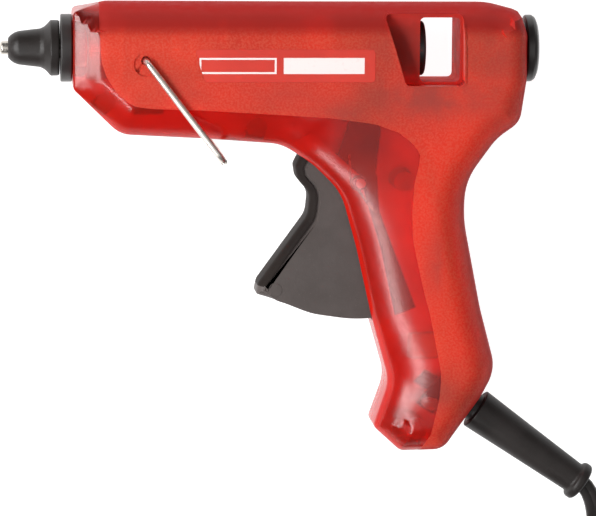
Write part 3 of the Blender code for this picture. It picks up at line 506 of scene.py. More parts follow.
def temp(bm):
    me = bpy.data.meshes.new("temp")
    bm.to_mesh(me)
    bm.free()
    o = bpy.data.objects.new("temp", me)
    bpy.context.scene.collection.objects.link(o)
    return o


def boolean(bm, other, how, solver="MANIFOLD"):
    a, b = temp(bm), temp(other)
    m = a.modifiers.new("cut", "BOOLEAN")
    m.object = b
    m.operation = how
    m.solver = solver
    deps = bpy.context.evaluated_depsgraph_get()
    me = bpy.data.meshes.new_from_object(a.evaluated_get(deps))
    out = bmesh.new()
    out.from_mesh(me)
    bpy.data.meshes.remove(me)
    for o in (a, b):
        d = o.data
        bpy.data.objects.remove(o)
        bpy.data.meshes.remove(d)
    bmesh.ops.remove_doubles(out, verts=out.verts, dist=2e-4)
    bmesh.ops.dissolve_degenerate(out, dist=2e-4, edges=out.edges)
    return out


def piece(name, bm, mats, body="housing", nodes=(), angle=38, marks=None):
    """Object from drawing millimetres. marks(points) gives float attributes per vertex."""
    pts = np.array([v.co for v in bm.verts])
    me = bpy.data.meshes.new(name)
    bm.to_mesh(me)
    bm.free()
    if marks:
        for key, vals in marks(pts).items():
            at = me.attributes.new(key, "FLOAT", "POINT")
            at.data.foreach_set("value", np.asarray(vals, np.float32))
    co = (pts - np.array([U0, V0, -W0])) * MM
    me.vertices.foreach_set("co", co.astype(np.float32).ravel())
    me.update()
    me.shade_smooth()
    me.set_sharp_from_angle(angle=math.radians(angle))
    for m in mats if isinstance(mats, (list, tuple)) else [mats]:
        me.materials.append(m)
    o = bpy.data.objects.new(name, me)
    bpy.context.scene.collection.objects.link(o)
    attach(o, body)
    if nodes:
        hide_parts(*nodes)
    return o


def soft_profile(prof, r=0.25, seg=3):
    """Rounds the corners of a closed (along, radius) profile."""
    out = []
    n = len(prof)
    for i in range(n):
        p = np.array(prof[i], float)
        a, b = np.array(prof[i - 1], float), np.array(prof[(i + 1) % n], float)
        if p[1] < 1e-6:
            out.append(tuple(p))
            continue
        la, lb = np.linalg.norm(a - p), np.linalg.norm(b - p)
        da, db = (a - p) / la, (b - p) / lb
        c = min(r, 0.42 * la, 0.42 * lb)
        if float(da @ db) < -0.985:
            out.append(tuple(p))
            continue
        s, e = p + da * c, p + db * c
        for k in range(seg + 1):
            t = k / seg
            q = (1 - t) ** 2 * s + 2 * t * (1 - t) * p + t * t * e
            out.append((float(q[0]), max(0.0, float(q[1]))))
    return out


def sweep(points, loop_of, closed_ends=True):
    """Mesh along a path: loop_of(i) gives section points (side, up) in mm; frames keep up near +w."""
    p = [Vector(q) for q in points]
    bm = bmesh.new()
    rows = []
    up = None
    for i, q in enumerate(p):
        t = (p[min(i + 1, len(p) - 1)] - p[max(i - 1, 0)]).normalized()
        if up is None:
            up = Vector((0, 0, 1))
        up = (up - t * up.dot(t)).normalized()
        up = (up + Vector((0, 0, 0.15)) - t * (Vector((0, 0, 0.15)).dot(t))).normalized()
        side = t.cross(up)
        rows.append([bm.verts.new(q + side * a + up * b) for a, b in loop_of(i)])
    n = len(rows[0])
    for a, b in zip(rows, rows[1:]):
        for k in range(n):
            j = (k + 1) % n
            bm.faces.new([a[k], a[j], b[j], b[k]])
    if closed_ends:
        bm.faces.new(rows[0][::-1])
        bm.faces.new(rows[-1])
    bmesh.ops.recalc_face_normals(bm, faces=bm.faces)
    return bm


# ---------------------------------------------------------------- materials
class Nodes:
    """Short hand for one material's tree."""

    def __init__(self, name):
        m = bpy.data.materials.new(name)
        m.use_nodes = True
        self.m = m
        self.t = m.node_tree
        self.b = self.t.nodes["Principled BSDF"]
        self.pos = None

    def new(self, kind, **inputs):
        n = self.t.nodes.new(kind)
        for k, v in inputs.items():
            n.inputs[k.replace("_", " ")].default_value = v
        return n

    def link(self, a, b):
        self.t.links.new(a, b)

    def where(self):
        if self.pos is None:
            self.pos = self.new("ShaderNodeTexCoord").outputs["Object"]
        return self.pos

    def noise(self, scale, detail=3.0, rough=0.55, stretch=None):
        n = self.new("ShaderNodeTexNoise")
        n.inputs["Scale"].default_value = scale
        n.inputs["Detail"].default_value = detail
        n.inputs["Roughness"].default_value = rough
        src = self.where()
        if stretch:
            mp = self.new("ShaderNodeMapping")
            mp.inputs["Scale"].default_value = stretch
            self.link(src, mp.inputs["Vector"])
            src = mp.outputs["Vector"]
        self.link(src, n.inputs["Vector"])
        return n.outputs["Fac"]

    def span(self, src, lo, hi, a, b, smooth=True):
        n = self.new("ShaderNodeMapRange")
        n.interpolation_type = "SMOOTHSTEP" if smooth else "LINEAR"
        n.inputs["From Min"].default_value = lo
        n.inputs["From Max"].default_value = hi
        n.inputs["To Min"].default_value = a
        n.inputs["To Max"].default_value = b
        self.link(src, n.inputs["Value"])
        return n.outputs["Result"]

    def mix(self, fac, a, b):
        n = self.t.nodes.new("ShaderNodeMix")
        n.data_type = "RGBA"
        self.link(fac, n.inputs["Factor"])
        for k, c in ((6, a), (7, b)):
            if hasattr(c, "links"):
                self.link(c, n.inputs[k])
            else:
                n.inputs[k].default_value = (*c, 1)
        return n.outputs[2]

    def mixf(self, fac, a, b):
        n = self.t.nodes.new("ShaderNodeMix")
        n.data_type = "FLOAT"
        self.link(fac, n.inputs["Factor"])
        for k, c in ((2, a), (3, b)):
            if hasattr(c, "links"):
                self.link(c, n.inputs[k])
            else:
                n.inputs[k].default_value = c
        return n.outputs[0]

    def math(self, op, a, b=0.0):
        n = self.t.nodes.new("ShaderNodeMath")
        n.operation = op
        for k, c in ((0, a), (1, b)):
            if hasattr(c, "links"):
                self.link(c, n.inputs[k])
            else:
                n.inputs[k].default_value = c
        return n.outputs[0]

    def attr(self, name):
        n = self.t.nodes.new("ShaderNodeAttribute")
        n.attribute_name = name
        return n.outputs["Fac"]

    def bump(self, src, strength, dist, normal=None):
        n = self.new("ShaderNodeBump")
        n.inputs["Distance"].default_value = dist
        if hasattr(strength, "links"):
            self.link(strength, n.inputs["Strength"])
        else:
            n.inputs["Strength"].default_value = strength
        self.link(src, n.inputs["Height"])
        if normal is not None:
            self.link(normal, n.inputs["Normal"])
        return n.outputs["Normal"]

    def set(self, **kw):
        for k, v in kw.items():
            i = self.b.inputs[k.replace("_", " ")]
            if hasattr(v, "links"):
                self.link(v, i)
            elif isinstance(v, (tuple, list)):
                i.default_value = (*v, 1) if len(v) == 3 else v
            else:
                i.default_value = v
        return self.m


SHELL_RED = (0.96, 0.022, 0.003)
SHELL_DEEP = (0.84, 0.012, 0.002)


def shell_outer():
    """Translucent red plastic: spark-grained field, polished borders; "grain" is mm inside the field."""
    n = Nodes("shell_red")
    g = n.attr("grain")
    field = n.span(g, -0.18, 0.22, 0.0, 1.0)
    fine = n.noise(1500.0, 2.0, 0.6)
    mid = n.noise(420.0, 3.0, 0.6)
    cloud = n.noise(28.0, 3.0, 0.5)
    colour = n.mix(n.span(cloud, 0.35, 0.68, 0.0, 1.0), SHELL_RED, SHELL_DEEP)
    # painted sheen: pale specks mixed into the grained field's colour stand in for the whitish reflection off the grain
    sheen_speck = n.span(fine, 0.35, 0.7, 0.22, 0.66)
    colour_and_painted_light = n.mix(n.math("MULTIPLY", field, sheen_speck), colour, (0.98, 0.15, 0.075))
    rough_f = n.mixf(n.span(mid, 0.3, 0.7, 0.0, 1.0), 0.58, 0.68)
    rough = n.mixf(field, n.mixf(n.span(mid, 0.3, 0.7, 0.0, 1.0), 0.19, 0.25), rough_f)
    h = n.math("ADD", n.math("MULTIPLY", fine, 0.6), n.math("MULTIPLY", mid, 0.4))
    bump = n.bump(h, n.math("MULTIPLY", field, 0.5), 0.00012)
    wave = n.bump(n.noise(60.0, 1.0, 0.4), 0.05, 0.0006, bump)
    # painted shade: the colour turns darker and browner where a part inside lies close under the skin, standing in for
    # its shadow through the shell
    painted_shade = n.math("MULTIPLY", n.attr("shade"), n.span(n.noise(90.0, 4.0, 0.6), 0.30, 0.62, 0.45, 1.0))
    colour_and_painted_light = n.mix(painted_shade, colour_and_painted_light, n.mix(field, (0.30, 0.012, 0.008), (0.38, 0.075, 0.055)))
    # painted shade: the top of the barrel is painted a darker, deeper red where it curves away from the light
    colour_and_painted_light = n.mix(n.attr("crown"), colour_and_painted_light, (0.60, 0.016, 0.008))
    # painted shade: the steep side walls are painted a deeper, darker red and let less light through
    facing = n.t.nodes.new("ShaderNodeSeparateXYZ")
    n.link(n.t.nodes.new("ShaderNodeNewGeometry").outputs["Normal"], facing.inputs[0])
    flat = n.span(n.math("ABSOLUTE", facing.outputs["Z"]), 0.30, 0.76, 0.0, 1.0)
    colour_and_painted_light = n.mix(flat, (0.46, 0.004, 0.001), colour_and_painted_light)
    clear = n.math("MULTIPLY", n.mixf(field, 0.80, 0.50), flat)
    return n.set(
        Base_Color=colour_and_painted_light, Roughness=rough, Normal=wave, Transmission_Weight=clear, IOR=1.49, Specular_IOR_Level=0.12,
    )


def shell_inner():
    n = Nodes("shell_red_inside")
    cloud = n.noise(40.0, 3.0, 0.5)
    colour = n.mix(n.span(cloud, 0.35, 0.68, 0.0, 1.0), SHELL_RED, SHELL_DEEP)
    return n.set(
        Base_Color=colour, Roughness=n.span(n.noise(300.0), 0.3, 0.7, 0.66, 0.8), Transmission_Weight=TRANS_IN, IOR=1.49,
        Normal=n.bump(n.noise(500.0), 0.2, 0.0001),
    )


def shell_cut():
    """Polished edges of openings and the parting line."""
    n = Nodes("shell_red_edge")
    cloud = n.noise(60.0, 2.0, 0.5)
    colour = n.mix(n.span(cloud, 0.35, 0.68, 0.0, 1.0), (0.9, 0.035, 0.008), SHELL_RED)
    return n.set(
        Base_Color=colour, Roughness=n.span(n.noise(200.0), 0.3, 0.7, 0.34, 0.44), Transmission_Weight=0.4, IOR=1.49, Specular_IOR_Level=0.15,
        Normal=n.bump(n.noise(300.0), 0.06, 0.0001),
    )


def label_mat():
    n = Nodes("label_field")
    cloud = n.noise(50.0, 3.0, 0.5)
    colour = n.mix(n.span(cloud, 0.35, 0.68, 0.0, 1.0), (0.92, 0.06, 0.032), (0.84, 0.045, 0.024))
    fine = n.noise(900.0, 2.0, 0.6)
    axes = n.t.nodes.new("ShaderNodeSeparateXYZ")
    n.link(n.where(), axes.inputs[0])

    def bar(u, v, hu, hv):
        """1 inside a plain rectangle given in drawing mm."""
        x, y, _ = P(u, v, 0)
        gx = n.math("ABSOLUTE", n.math("SUBTRACT", axes.outputs["X"], x))
        gy = n.math("ABSOLUTE", n.math("SUBTRACT", axes.outputs["Y"], y))
        e = 0.06 * MM
        return n.math("MULTIPLY", n.span(gx, hu * MM - e, hu * MM + e, 1.0, 0.0), n.span(gy, hv * MM - e, hv * MM + e, 1.0, 0.0))

    frame_line = n.math("SUBTRACT", bar(-20.4, -4.4, 12.0, 2.5), bar(-20.4, -4.4, 11.4, 1.9))
    ink = n.math("MAXIMUM", frame_line, bar(6.4, -4.4, 12.6, 2.5))
    worn = n.span(fine, 0.30, 0.42, 0.94, 1.0)
    colour = n.mix(n.math("MULTIPLY", ink, worn), colour, (0.90, 0.80, 0.78))
    return n.set(
        Base_Color=colour, Roughness=n.span(fine, 0.3, 0.7, 0.46, 0.56), Transmission_Weight=n.mixf(ink, 0.45, 0.05), IOR=1.49,
        Normal=n.bump(fine, 0.15, 0.00008),
    )


def plastic(name, a, b, rough, grain=900.0, depth=0.00008, strength=0.35, spec=0.5, cloud=70.0, worn=None):
    n = Nodes(name)
    fine = n.noise(grain, 3.0, 0.6)
    big = n.noise(cloud, 4.0, 0.6)
    colour = n.mix(n.span(big, 0.35, 0.66, 0.0, 1.0), a, b)
    if worn:
        colour = n.mix(n.span(fine, 0.60, 0.78, 0.0, 0.5), colour, worn)
    r = n.span(big, 0.3, 0.7, rough[0], rough[1])
    return n.set(Base_Color=colour, Roughness=r, Normal=n.bump(fine, strength, depth), Specular_IOR_Level=spec)


def metal(name, a, b, rough, stretch=None, scale=500.0, strength=0.12, depth=0.00005):
    n = Nodes(name)
    lines = n.noise(scale, 3.0, 0.6, stretch)
    big = n.noise(120.0, 3.0, 0.55)
    colour = n.mix(n.span(big, 0.35, 0.66, 0.0, 1.0), a, b)
    return n.set(
        Base_Color=colour, Metallic=1.0, Roughness=n.span(lines, 0.3, 0.7, rough[0], rough[1]), Normal=n.bump(lines, strength, depth)
    )


TRANS, TRANS_IN = 0.60, 0.72

M = {
    "shell": shell_outer(),
    "inside": shell_inner(),
    "edge": shell_cut(),
    "label": label_mat(),
    "black": plastic("black_plastic", (0.016, 0.013, 0.012), (0.022, 0.018, 0.017), (0.40, 0.50), spec=0.3, worn=(0.04, 0.034, 0.032)),
    "ring": plastic("black_ring", (0.022, 0.019, 0.019), (0.032, 0.028, 0.027), (0.28, 0.36), spec=0.42, grain=700.0, strength=0.2),
    "rubber": plastic("cap_rubber", (0.012, 0.009, 0.008), (0.018, 0.014, 0.013), (0.36, 0.46), spec=0.32, grain=1100.0, worn=(0.03, 0.024, 0.022)),
    "finger": plastic("trigger_finger_dark", (0.014, 0.010, 0.009), (0.020, 0.015, 0.013), (0.55, 0.65), grain=1100.0, spec=0.08),
    "grey": plastic("trigger_grey", (0.070, 0.057, 0.053), (0.084, 0.069, 0.065), (0.46, 0.56), spec=0.3, grain=1300.0, depth=0.0001, strength=0.5, worn=(0.12, 0.10, 0.095)),
    "cord": plastic("cord_sheath", (0.018, 0.015, 0.014), (0.026, 0.022, 0.021), (0.30, 0.42), spec=0.4, grain=1200.0, strength=0.25),
    "sleeve": plastic("sleeve_rubber", (0.014, 0.011, 0.010), (0.021, 0.017, 0.016), (0.40, 0.5), spec=0.3, grain=1200.0, worn=(0.035, 0.028, 0.026)),
    "ceramic": plastic("fired_ceramic", (0.80, 0.76, 0.67), (0.70, 0.66, 0.57), (0.6, 0.75), grain=800.0, strength=0.5),
    "silicone": plastic("red_silicone", (0.50, 0.08, 0.05), (0.42, 0.06, 0.04), (0.5, 0.62)),
    "wire": metal("stand_steel", (0.92, 0.86, 0.80), (0.78, 0.72, 0.66), (0.26, 0.42), stretch=(1, 1, 1), scale=900.0),
    "steel": metal("plated_steel", (0.60, 0.59, 0.57), (0.46, 0.45, 0.44), (0.24, 0.4)),
    "tip": metal("turned_tip", (0.58, 0.54, 0.49), (0.42, 0.39, 0.35), (0.22, 0.34), scale=1500.0),
    "alu": metal("cast_aluminium", (0.74, 0.74, 0.75), (0.62, 0.62, 0.63), (0.4, 0.55), strength=0.4),
    "brass": metal("plated_pins", (0.80, 0.66, 0.36), (0.68, 0.54, 0.28), (0.2, 0.34)),
}

# ---------------------------------------------------------------- camera
cam = bpy.data.cameras.new("camera")
cam.sensor_width = 36.0
cam.lens = 231.708
cam.clip_start, cam.clip_end = 0.01, 20.0
cam_ob = bpy.data.objects.new("camera", cam)
cam_ob.location = (-0.101364, 0.155989, 1.219)
cam_ob.rotation_euler = (-0.1307603, -0.0828037, 0.0068767)
bpy.context.scene.collection.objects.link(cam_ob)
bpy.context.scene.camera = cam_ob

# ---------------------------------------------------------------- cord, coil, plug
TURNS = 5.31
PITCH = 5.4


def coil_points():
    """Two layers of three turns, each turn beside or on the last, outermost first."""
    lay = [(31.0 + PITCH, -16.2), (31.0, -16.2), (31.0 - PITCH, -16.2), (31.0 - PITCH, -10.8), (31.0, -10.8), (31.0 + PITCH, -10.8)]
    per = 26
    pts = []
    for i in range(int(per * TURNS) + 1):
        x = i / per
        k = min(int(x), 5)
        f = x - k
        r0, w0 = lay[k]
        r1, w1 = lay[min(k + 1, 5)]
        s = 0.0 if f < 0.66 else (f - 0.66) / 0.34
        s = s * s * (3 - 2 * s)
        r, w = r0 + (r1 - r0) * s, w0 + (w1 - w0) * s
        a = math.radians(4.0) - 2 * math.pi * x
        pts.append((COIL_C[0] + r * math.cos(a), COIL_C[1] + r * math.sin(a), w))
    return pts


def cord_route():
    """Straight out of the sleeve, down to the floor, round the coil and into the plug."""
    head = [along_cord(s) for s in (16.0, 26.0, 36.0, 43.6)]
    head += [
        (95.2, -144.9, -0.8), (96.8, -151.0, -3.4), (98.6, -160.0, -8.0), (100.6, -171.0, -12.4), (102.2, -184.0, -15.4),
        (102.8, -197.0, -16.2), (102.9, -206.0, -16.2),
    ]
    tail = [
        (46.6, -248.6, -11.9), (38.8, -245.0, -14.9), (31.4, -240.4, -16.2), (24.4, -234.2, -15.8), (17.2, -228.9, -13.6),
        (12.4, PLUG_V - 0.4, PLUG_W - 0.2), (8.6, PLUG_V, PLUG_W),
    ]
    return head + coil_points() + tail


def core_pair(half, r, n=9):
    """Section of two round cores side by side."""
    out = []
    a0 = math.acos(min(1.0, (half - r) / r)) * 0.86
    for c, lo in ((half - r, -math.pi + a0), (-(half - r), a0)):
        for i in range(n):
            a = lo + (2 * math.pi - 2 * a0) * i / (n - 1)
            out.append((c + r * math.cos(a), r * math.sin(a)))
    return out


def make_cord():
    route = smooth_path(cord_route(), 2.2)
    sec = core_pair(CORD_D / 2, 1.62)
    bm = sweep(route, lambda i: sec)
    lead = piece("flat_lead", bm, M["cord"], nodes=("cord_run", "cord_coil", "cord_tail"), angle=50)
    long = sum(math.dist(a, b) for a, b in zip(route, route[1:]))
    stub = sweep(smooth_path([along_cord(-20.0), along_cord(-6.0), along_cord(15.6)], 3.0), lambda i: sec)
    piece("lead_in_grip", stub, M["cord"], angle=50)
    return lead, route, long


def make_plug():
    """Flat plug body with ribbed sides and a soft shoulder, and its two pins."""
    u, v, w = PLUG_U, PLUG_V, PLUG_W
    corners = [
        (u + 8.2, v - 3.6, 1.6), (u + 8.2, v + 3.6, 1.6), (u - 1.0, v + 6.5, 5.0), (u - 18.0, v + 12.0, 12.0), (u - 29.0, v + 17.4, 7.0),
        (u - 36.0, v + 17.4, 2.0), (u - 36.0, v - 17.4, 2.0), (u - 29.0, v - 17.4, 7.0), (u - 18.0, v - 12.0, 12.0), (u - 1.0, v - 6.5, 5.0),
    ]
    loop, _ = rounded(corners, 0.03, 2.2)
    if signed_area(loop) < 0:
        loop = loop[::-1]
    nrm = normals_in(loop)
    top, edge = 6.7, 2.4
    rows = []
    bm = bmesh.new()
    steps = []
    for i in range(7):
        a = math.pi / 2 * i / 6
        steps.append((edge * (1 - math.sin(a)), -top + edge * (1 - math.cos(a))))
    # finger grooves along the waist
    lev = [(c, z) for c, z in steps] + [(c, -z) for c, z in steps[::-1]]
    waist = np.clip(1 - np.abs(loop[:, 0] - (u - 12.0)) / 11.0, 0, 1)
    rib = 0.45 * np.clip(np.cos((loop[:, 0] - u) * 2 * math.pi / 3.6), -0.2, 1) * np.clip(waist * 3, 0, 1)
    for c, z in lev:
        k = 1 - abs(z) / top * 0.5
        q = loop + nrm * (c + np.maximum(rib, 0) * k)[:, None]
        rows.append([bm.verts.new((x, y, w + z)) for x, y in q])
    n = len(loop)
    for lo, hi in zip(rows, rows[1:]):
        for i in range(n):
            j = (i + 1) % n
            bm.faces.new([lo[i], lo[j], hi[j], hi[i]])
    bm.faces.new(rows[0][::-1])
    bm.faces.new(rows[-1])
    bmesh.ops.recalc_face_normals(bm, faces=bm.faces)
    bmesh.ops.triangulate(bm, faces=[f for f in bm.faces if len(f.verts) > 4])
    body = piece("plug_moulding", bm, M["black"], nodes=("plug_body",), angle=45)
    pins = []
    for i, s in enumerate((-1, 1)):
        y = v + 9.5 * s
        prof = soft_profile([(u - 36.3, 0), (u - 36.3, 1.85), (u - 46.0, 1.85), (u - 46.0, 1.98), (u - 54.0, 1.98), (u - 55.0, 1.2), (u - 55.0, 0)], 0.3)
        pins.append(piece(f"plug_pin_turned_{i + 1}", lathe(prof, 32, "u", (y, w)), M["brass"], nodes=(f"plug_pin_{i + 1}",)))
    return [body, *pins]


def make_tie():
    """Ribbed strap once round the bundle."""
    a = math.radians(118)
    ca, sa = math.cos(a), math.sin(a)
    lo, hi, t = -18.85, -7.2, 0.9
    half = PITCH + 2.9
    corners = [(COIL_R - half, lo, 1.6), (COIL_R + half, lo, 1.6), (COIL_R + half, hi, 1.6), (COIL_R - half, hi, 1.6)]
    loop, _ = rounded(corners, 0.02, 1.0)
    if signed_area(loop) < 0:
        loop = loop[::-1]
    nrm = normals_in(loop)
    bm = bmesh.new()
    rows = []
    n = len(loop)
    for wd, off in ((-2.3, 0.0), (-2.3, -t * 0.6), (-1.9, -t), (1.9, -t), (2.3, -t * 0.6), (2.3, 0.0)):
        ripple = np.where(np.arange(n) % 2 == 0, 0.0, 0.12) if abs(wd) < 2 else 0.0
        q = loop + nrm * (off + np.ones(n) * 0 + ripple)[:, None]
        rows.append([bm.verts.new((COIL_C[0] + r * ca - wd * sa, COIL_C[1] + r * sa + wd * ca, max(z, -18.98))) for r, z in q])
    for k in range(len(rows)):
        x, y = rows[k], rows[(k + 1) % len(rows)]
        for i in range(n):
            j = (i + 1) % n
            bm.faces.new([x[i], x[j], y[j], y[i]])
    bmesh.ops.recalc_face_normals(bm, faces=bm.faces)
    return piece("strap_tie", bm, M["black"], nodes=("coil_tie",), angle=30)


cord_ob, cord_path, cord_long = make_cord()
plug_obs = make_plug()
tie_ob = make_tie()


# ---------------------------------------------------------------- shell halves
FIELD = [
    (-63.4, 60.0), (-63.2, 8.0), (-63.1, 2.8), (-62.7, -3.1), (-61.1, -7.9), (-57.6, -13.5), (-52.5, -17.1), (-46.5, -17.8),
    (-31.9, -18.2), (7.7, -20.6), (22.3, -22.5), (30.5, -25.4), (36.0, -30.2), (36.9, -33.1), (34.8, -40.7), (34.1, -50.1),
    (34.4, -58.3), (35.7, -64.6), (38.3, -76.0), (40.0, -81.8), (43.9, -101.2), (43.5, -108.2), (40.8, -120.3), (37.6, -126.5),
    (37.0, -160.0), (140.0, -160.0), (140.0, 60.0),
]


def field_of(pts):
    """Signed distance in mm into the grained field."""
    out = np.zeros(len(pts))
    for i in range(0, len(pts), 4000):
        d, _, _, ins = near(pts[i : i + 4000, :2], FIELD_LOOP)
        out[i : i + 4000] = np.where(ins, d, -d)
    return out


FIELD_LOOP, _ = rounded([(*p, 3.0) for p in FIELD], 0.05, 6)


def tall(p, loop, ext, inset=0.0):
    out = np.zeros(len(p))
    for i in range(0, len(p), 3000):
        out[i : i + 3000] = height(p[i : i + 3000], loop, ext, inset)
    return out


WINDOW_LIP = [(25.4, 11.5), (50.2, 11.5), (50.4, -10.7), (32.1, -10.7)]
WINDOW_HOLE = [(36.9, 10.3), (49.5, 10.3), (49.5, -9.8), (36.9, -9.8)]


def fine_half(left):
    loop, ext = rounded(OUTLINE, 0.025, 2.6)
    if signed_area(loop) < 0:
        loop, ext = loop[::-1], ext[::-1]
    outer = pillow(loop, ext, 12, 3.2, 0.0, SPLIT)
    lin, ein = rounded(OUTLINE, 0.1, 5.0)
    if signed_area(lin) < 0:
        lin, ein = lin[::-1], ein[::-1]
    lin = lin + normals_in(lin) * WALL
    hollow = pillow(lin, ein, 5, 6.0, WALL, -5.0)
    core = pillow(lin - normals_in(lin) * (0.5 * WALL), ein, 4, 7.0, 0.5 * WALL, SPLIT + 0.25)
    shell = boolean(outer, hollow, "DIFFERENCE")
    # screw posts, ending just under the inner skin
    under = pillow(lin + normals_in(lin) * 0.1, ein, 5, 6.0, WALL + 0.1, 0.2)
    posts = [boolean(disc(c, BOSS_R, 0.3, 30, 32), under.copy(), "INTERSECT", "EXACT") for c in SCREWS]
    under.free()
    frame_loop, _ = rounded([(*p, 2.2) for p in grown(WINDOW_LIP, 0.9)], 0.03, 30)
    shell = boolean(shell, boolean(prism(frame_loop, 9.1, 30), core.copy(), "INTERSECT", "EXACT"), "UNION")
    # raised rim with a rounded crown, from two stacked outlines
    for grow, up in ((0.75, -0.08), (0.4, 0.08)):
        lip, _ = rounded([(*p, 2.2) for p in grown(WINDOW_LIP, grow)], 0.03, 30)
        top = pillow(loop, ext, 6, 5.0, 0.0, SPLIT)
        for v in top.verts:
            if v.co.z > SPLIT + 0.01:
                v.co.z += 0.28 + up
        shell = boolean(shell, boolean(prism(lip, 9.6, 30), top, "INTERSECT", "EXACT"), "UNION")
    recess, _ = rounded([(*p, 1.6) for p in WINDOW_LIP], 0.03, 30)
    shell = boolean(shell, prism(recess, 10.4, 30), "DIFFERENCE")
    # a second, lower step round the through hole
    step, _ = rounded([(*p, 1.5) for p in WINDOW_HOLE], 0.03, 30)
    shell = boolean(shell, prism(step, -1, 30), "DIFFERENCE")
    cuts = [
        lathe([(-80, 0), (-80, 8.6), (-66, 8.6), (-66, 0)], 48),
        lathe([(60, 0), (60, 8.35), (80, 8.35), (80, 0)], 48),
        prism([(-8.0, -35.5), (-2.6, -28.4), (3.0, -25.0), (19.0, -39.0), (26.0, -62.0), (31.0, -84.6), (14.0, -86.4), (4.0, -60.0)], -1, SLOT_W),
        disc(STAND_PIVOT, 1.45, 4, 30, 28),
        disc(PIVOT, 1.62, -1, 14.2, 24),
    ]
    hole = lathe([(-6, 0), (-6, 5.0), (40, 5.0), (40, 0)], 36)
    bmesh.ops.translate(hole, verts=hole.verts, vec=(CORD_AXIS[0], CORD_AXIS[1], 0))
    cuts.append(turn_mesh(hole, CORD_ANGLE, CORD_AXIS))
    # sink round the stand's hole, with its insertion notch
    sink = disc(STAND_PIVOT, 3.7, W_BARREL - 0.55, 30, 40)
    bmesh.ops.translate(sink, verts=sink.verts, vec=(0.0, -1.2, 0.0))
    cuts.append(sink)
    a = math.radians(-126)
    pu, pv = STAND_PIVOT
    d, e = (math.cos(a), math.sin(a)), (-math.sin(a), math.cos(a))
    for off, wd, lo in ((0.0, 0.55, 1.3),):
        cuts.append(
            prism(
                [
                    (pu + d[0] * s + e[0] * (off + t), pv + d[1] * s + e[1] * (off + t))
                    for s, t in ((0.0, -wd), (4.4, -wd), (4.4, wd), (0.0, wd))
                ],
                W_BARREL - lo, 30,
            )
        )
    if not left:
        for c in SCREWS:
            cuts += [disc(c, 1.8, -1, 30, 20), disc(c, 3.0, 5.5, 30, 32)]
    if left:
        cuts.append(prism(label_shape(0.19), W_BARREL - 0.9, 30))
    for c in cuts:
        shell = boolean(shell, c, "DIFFERENCE")
    core.free()
    for post, c in zip(posts, SCREWS):
        bores = [disc(c, 1.35, -1, 9.5, 16)] if left else [disc(c, 1.8, -1, 30, 20), disc(c, 3.0, 5.5, 30, 32)]
        for bore in bores:
            post = boolean(post, bore, "DIFFERENCE", "EXACT")
        me = bpy.data.meshes.new("post")
        post.to_mesh(me)
        post.free()
        shell.from_mesh(me)
        bpy.data.meshes.remove(me)
    shell.normal_update()

    mid = np.array([f.calc_center_median() for f in shell.faces])
    nrm = np.array([f.normal for f in shell.faces])
    h = tall(mid[:, :2], loop, ext)
    edge = np.zeros(len(mid))
    for i in range(0, len(mid), 3000):
        edge[i : i + 3000] = near(mid[i : i + 3000, :2], loop)[0]
    skin = ((mid[:, 2] > h - 1.8) & (nrm[:, 2] > 0.04)) | ((edge < 0.12) & (mid[:, 2] > SPLIT))
    hin = h - WALL
    inside = (~skin) & (np.abs(nrm[:, 2]) < 1.1) & (mid[:, 2] < hin + 0.25) & (edge > WALL * 0.6)
    for i, f in enumerate(shell.faces):
        f.material_index = 0 if skin[i] else 1 if inside[i] else 2
    if not left:
        shell = flip_w(shell)
    return shell


# painted shade: soft dark places painted where a part inside lies close under the skin, standing in for its shadow
# through the shell: centre, reach across and along, strength
SHADES = [
    (40.0, -14.0, 22.0, 8.0, 0.9), (60.0, -2.0, 12.0, 12.0, 0.5), (12.5, -19.5, 12.0, 6.0, 0.6), (21.5, -27.0, 9.0, 6.0, 0.5),
    (-6.0, -13.0, 14.0, 5.0, 0.35), (43.2, -107.5, 6.5, 5.0, 0.45), (41.5, -66.0, 3.0, 10.0, 0.6), (-40.0, -12.0, 12.0, 5.0, 0.3),
    (26.0, 3.0, 7.0, 8.0, 0.4), (62.0, -20.0, 8.0, 8.0, 0.45),
]


def shell_marks(pts):
    shade = np.zeros(len(pts))
    for u, v, a, b, k in SHADES:
        r2 = ((pts[:, 0] - u) / a) ** 2 + ((pts[:, 1] - v) / b) ** 2
        shade = np.maximum(shade, k * np.exp(-r2))
    # painted shade along the top of the barrel, from v = 4.6 mm up
    crown = np.clip((pts[:, 1] - 4.6) / 2.6, 0, 1)
    return {"grain": field_of(pts), "shade": shade, "crown": crown}


for side in (True, False):
    name = "left" if side else "right"
    piece(
        f"shell_{name}", fine_half(side), [M["shell"], M["inside"], M["edge"]], nodes=(f"housing_{name}",), angle=32,
        marks=shell_marks,
    )

bm = prism(label_shape(0.17), W_BARREL - 0.6, W_BARREL - 0.05)
bmesh.ops.bevel(bm, geom=[e for e in bm.edges if min(v.co.z for v in e.verts) > W_BARREL - 0.2], offset=0.06, segments=2, affect="EDGES")
piece("label_field", bm, M["label"], nodes=("label_panel",))


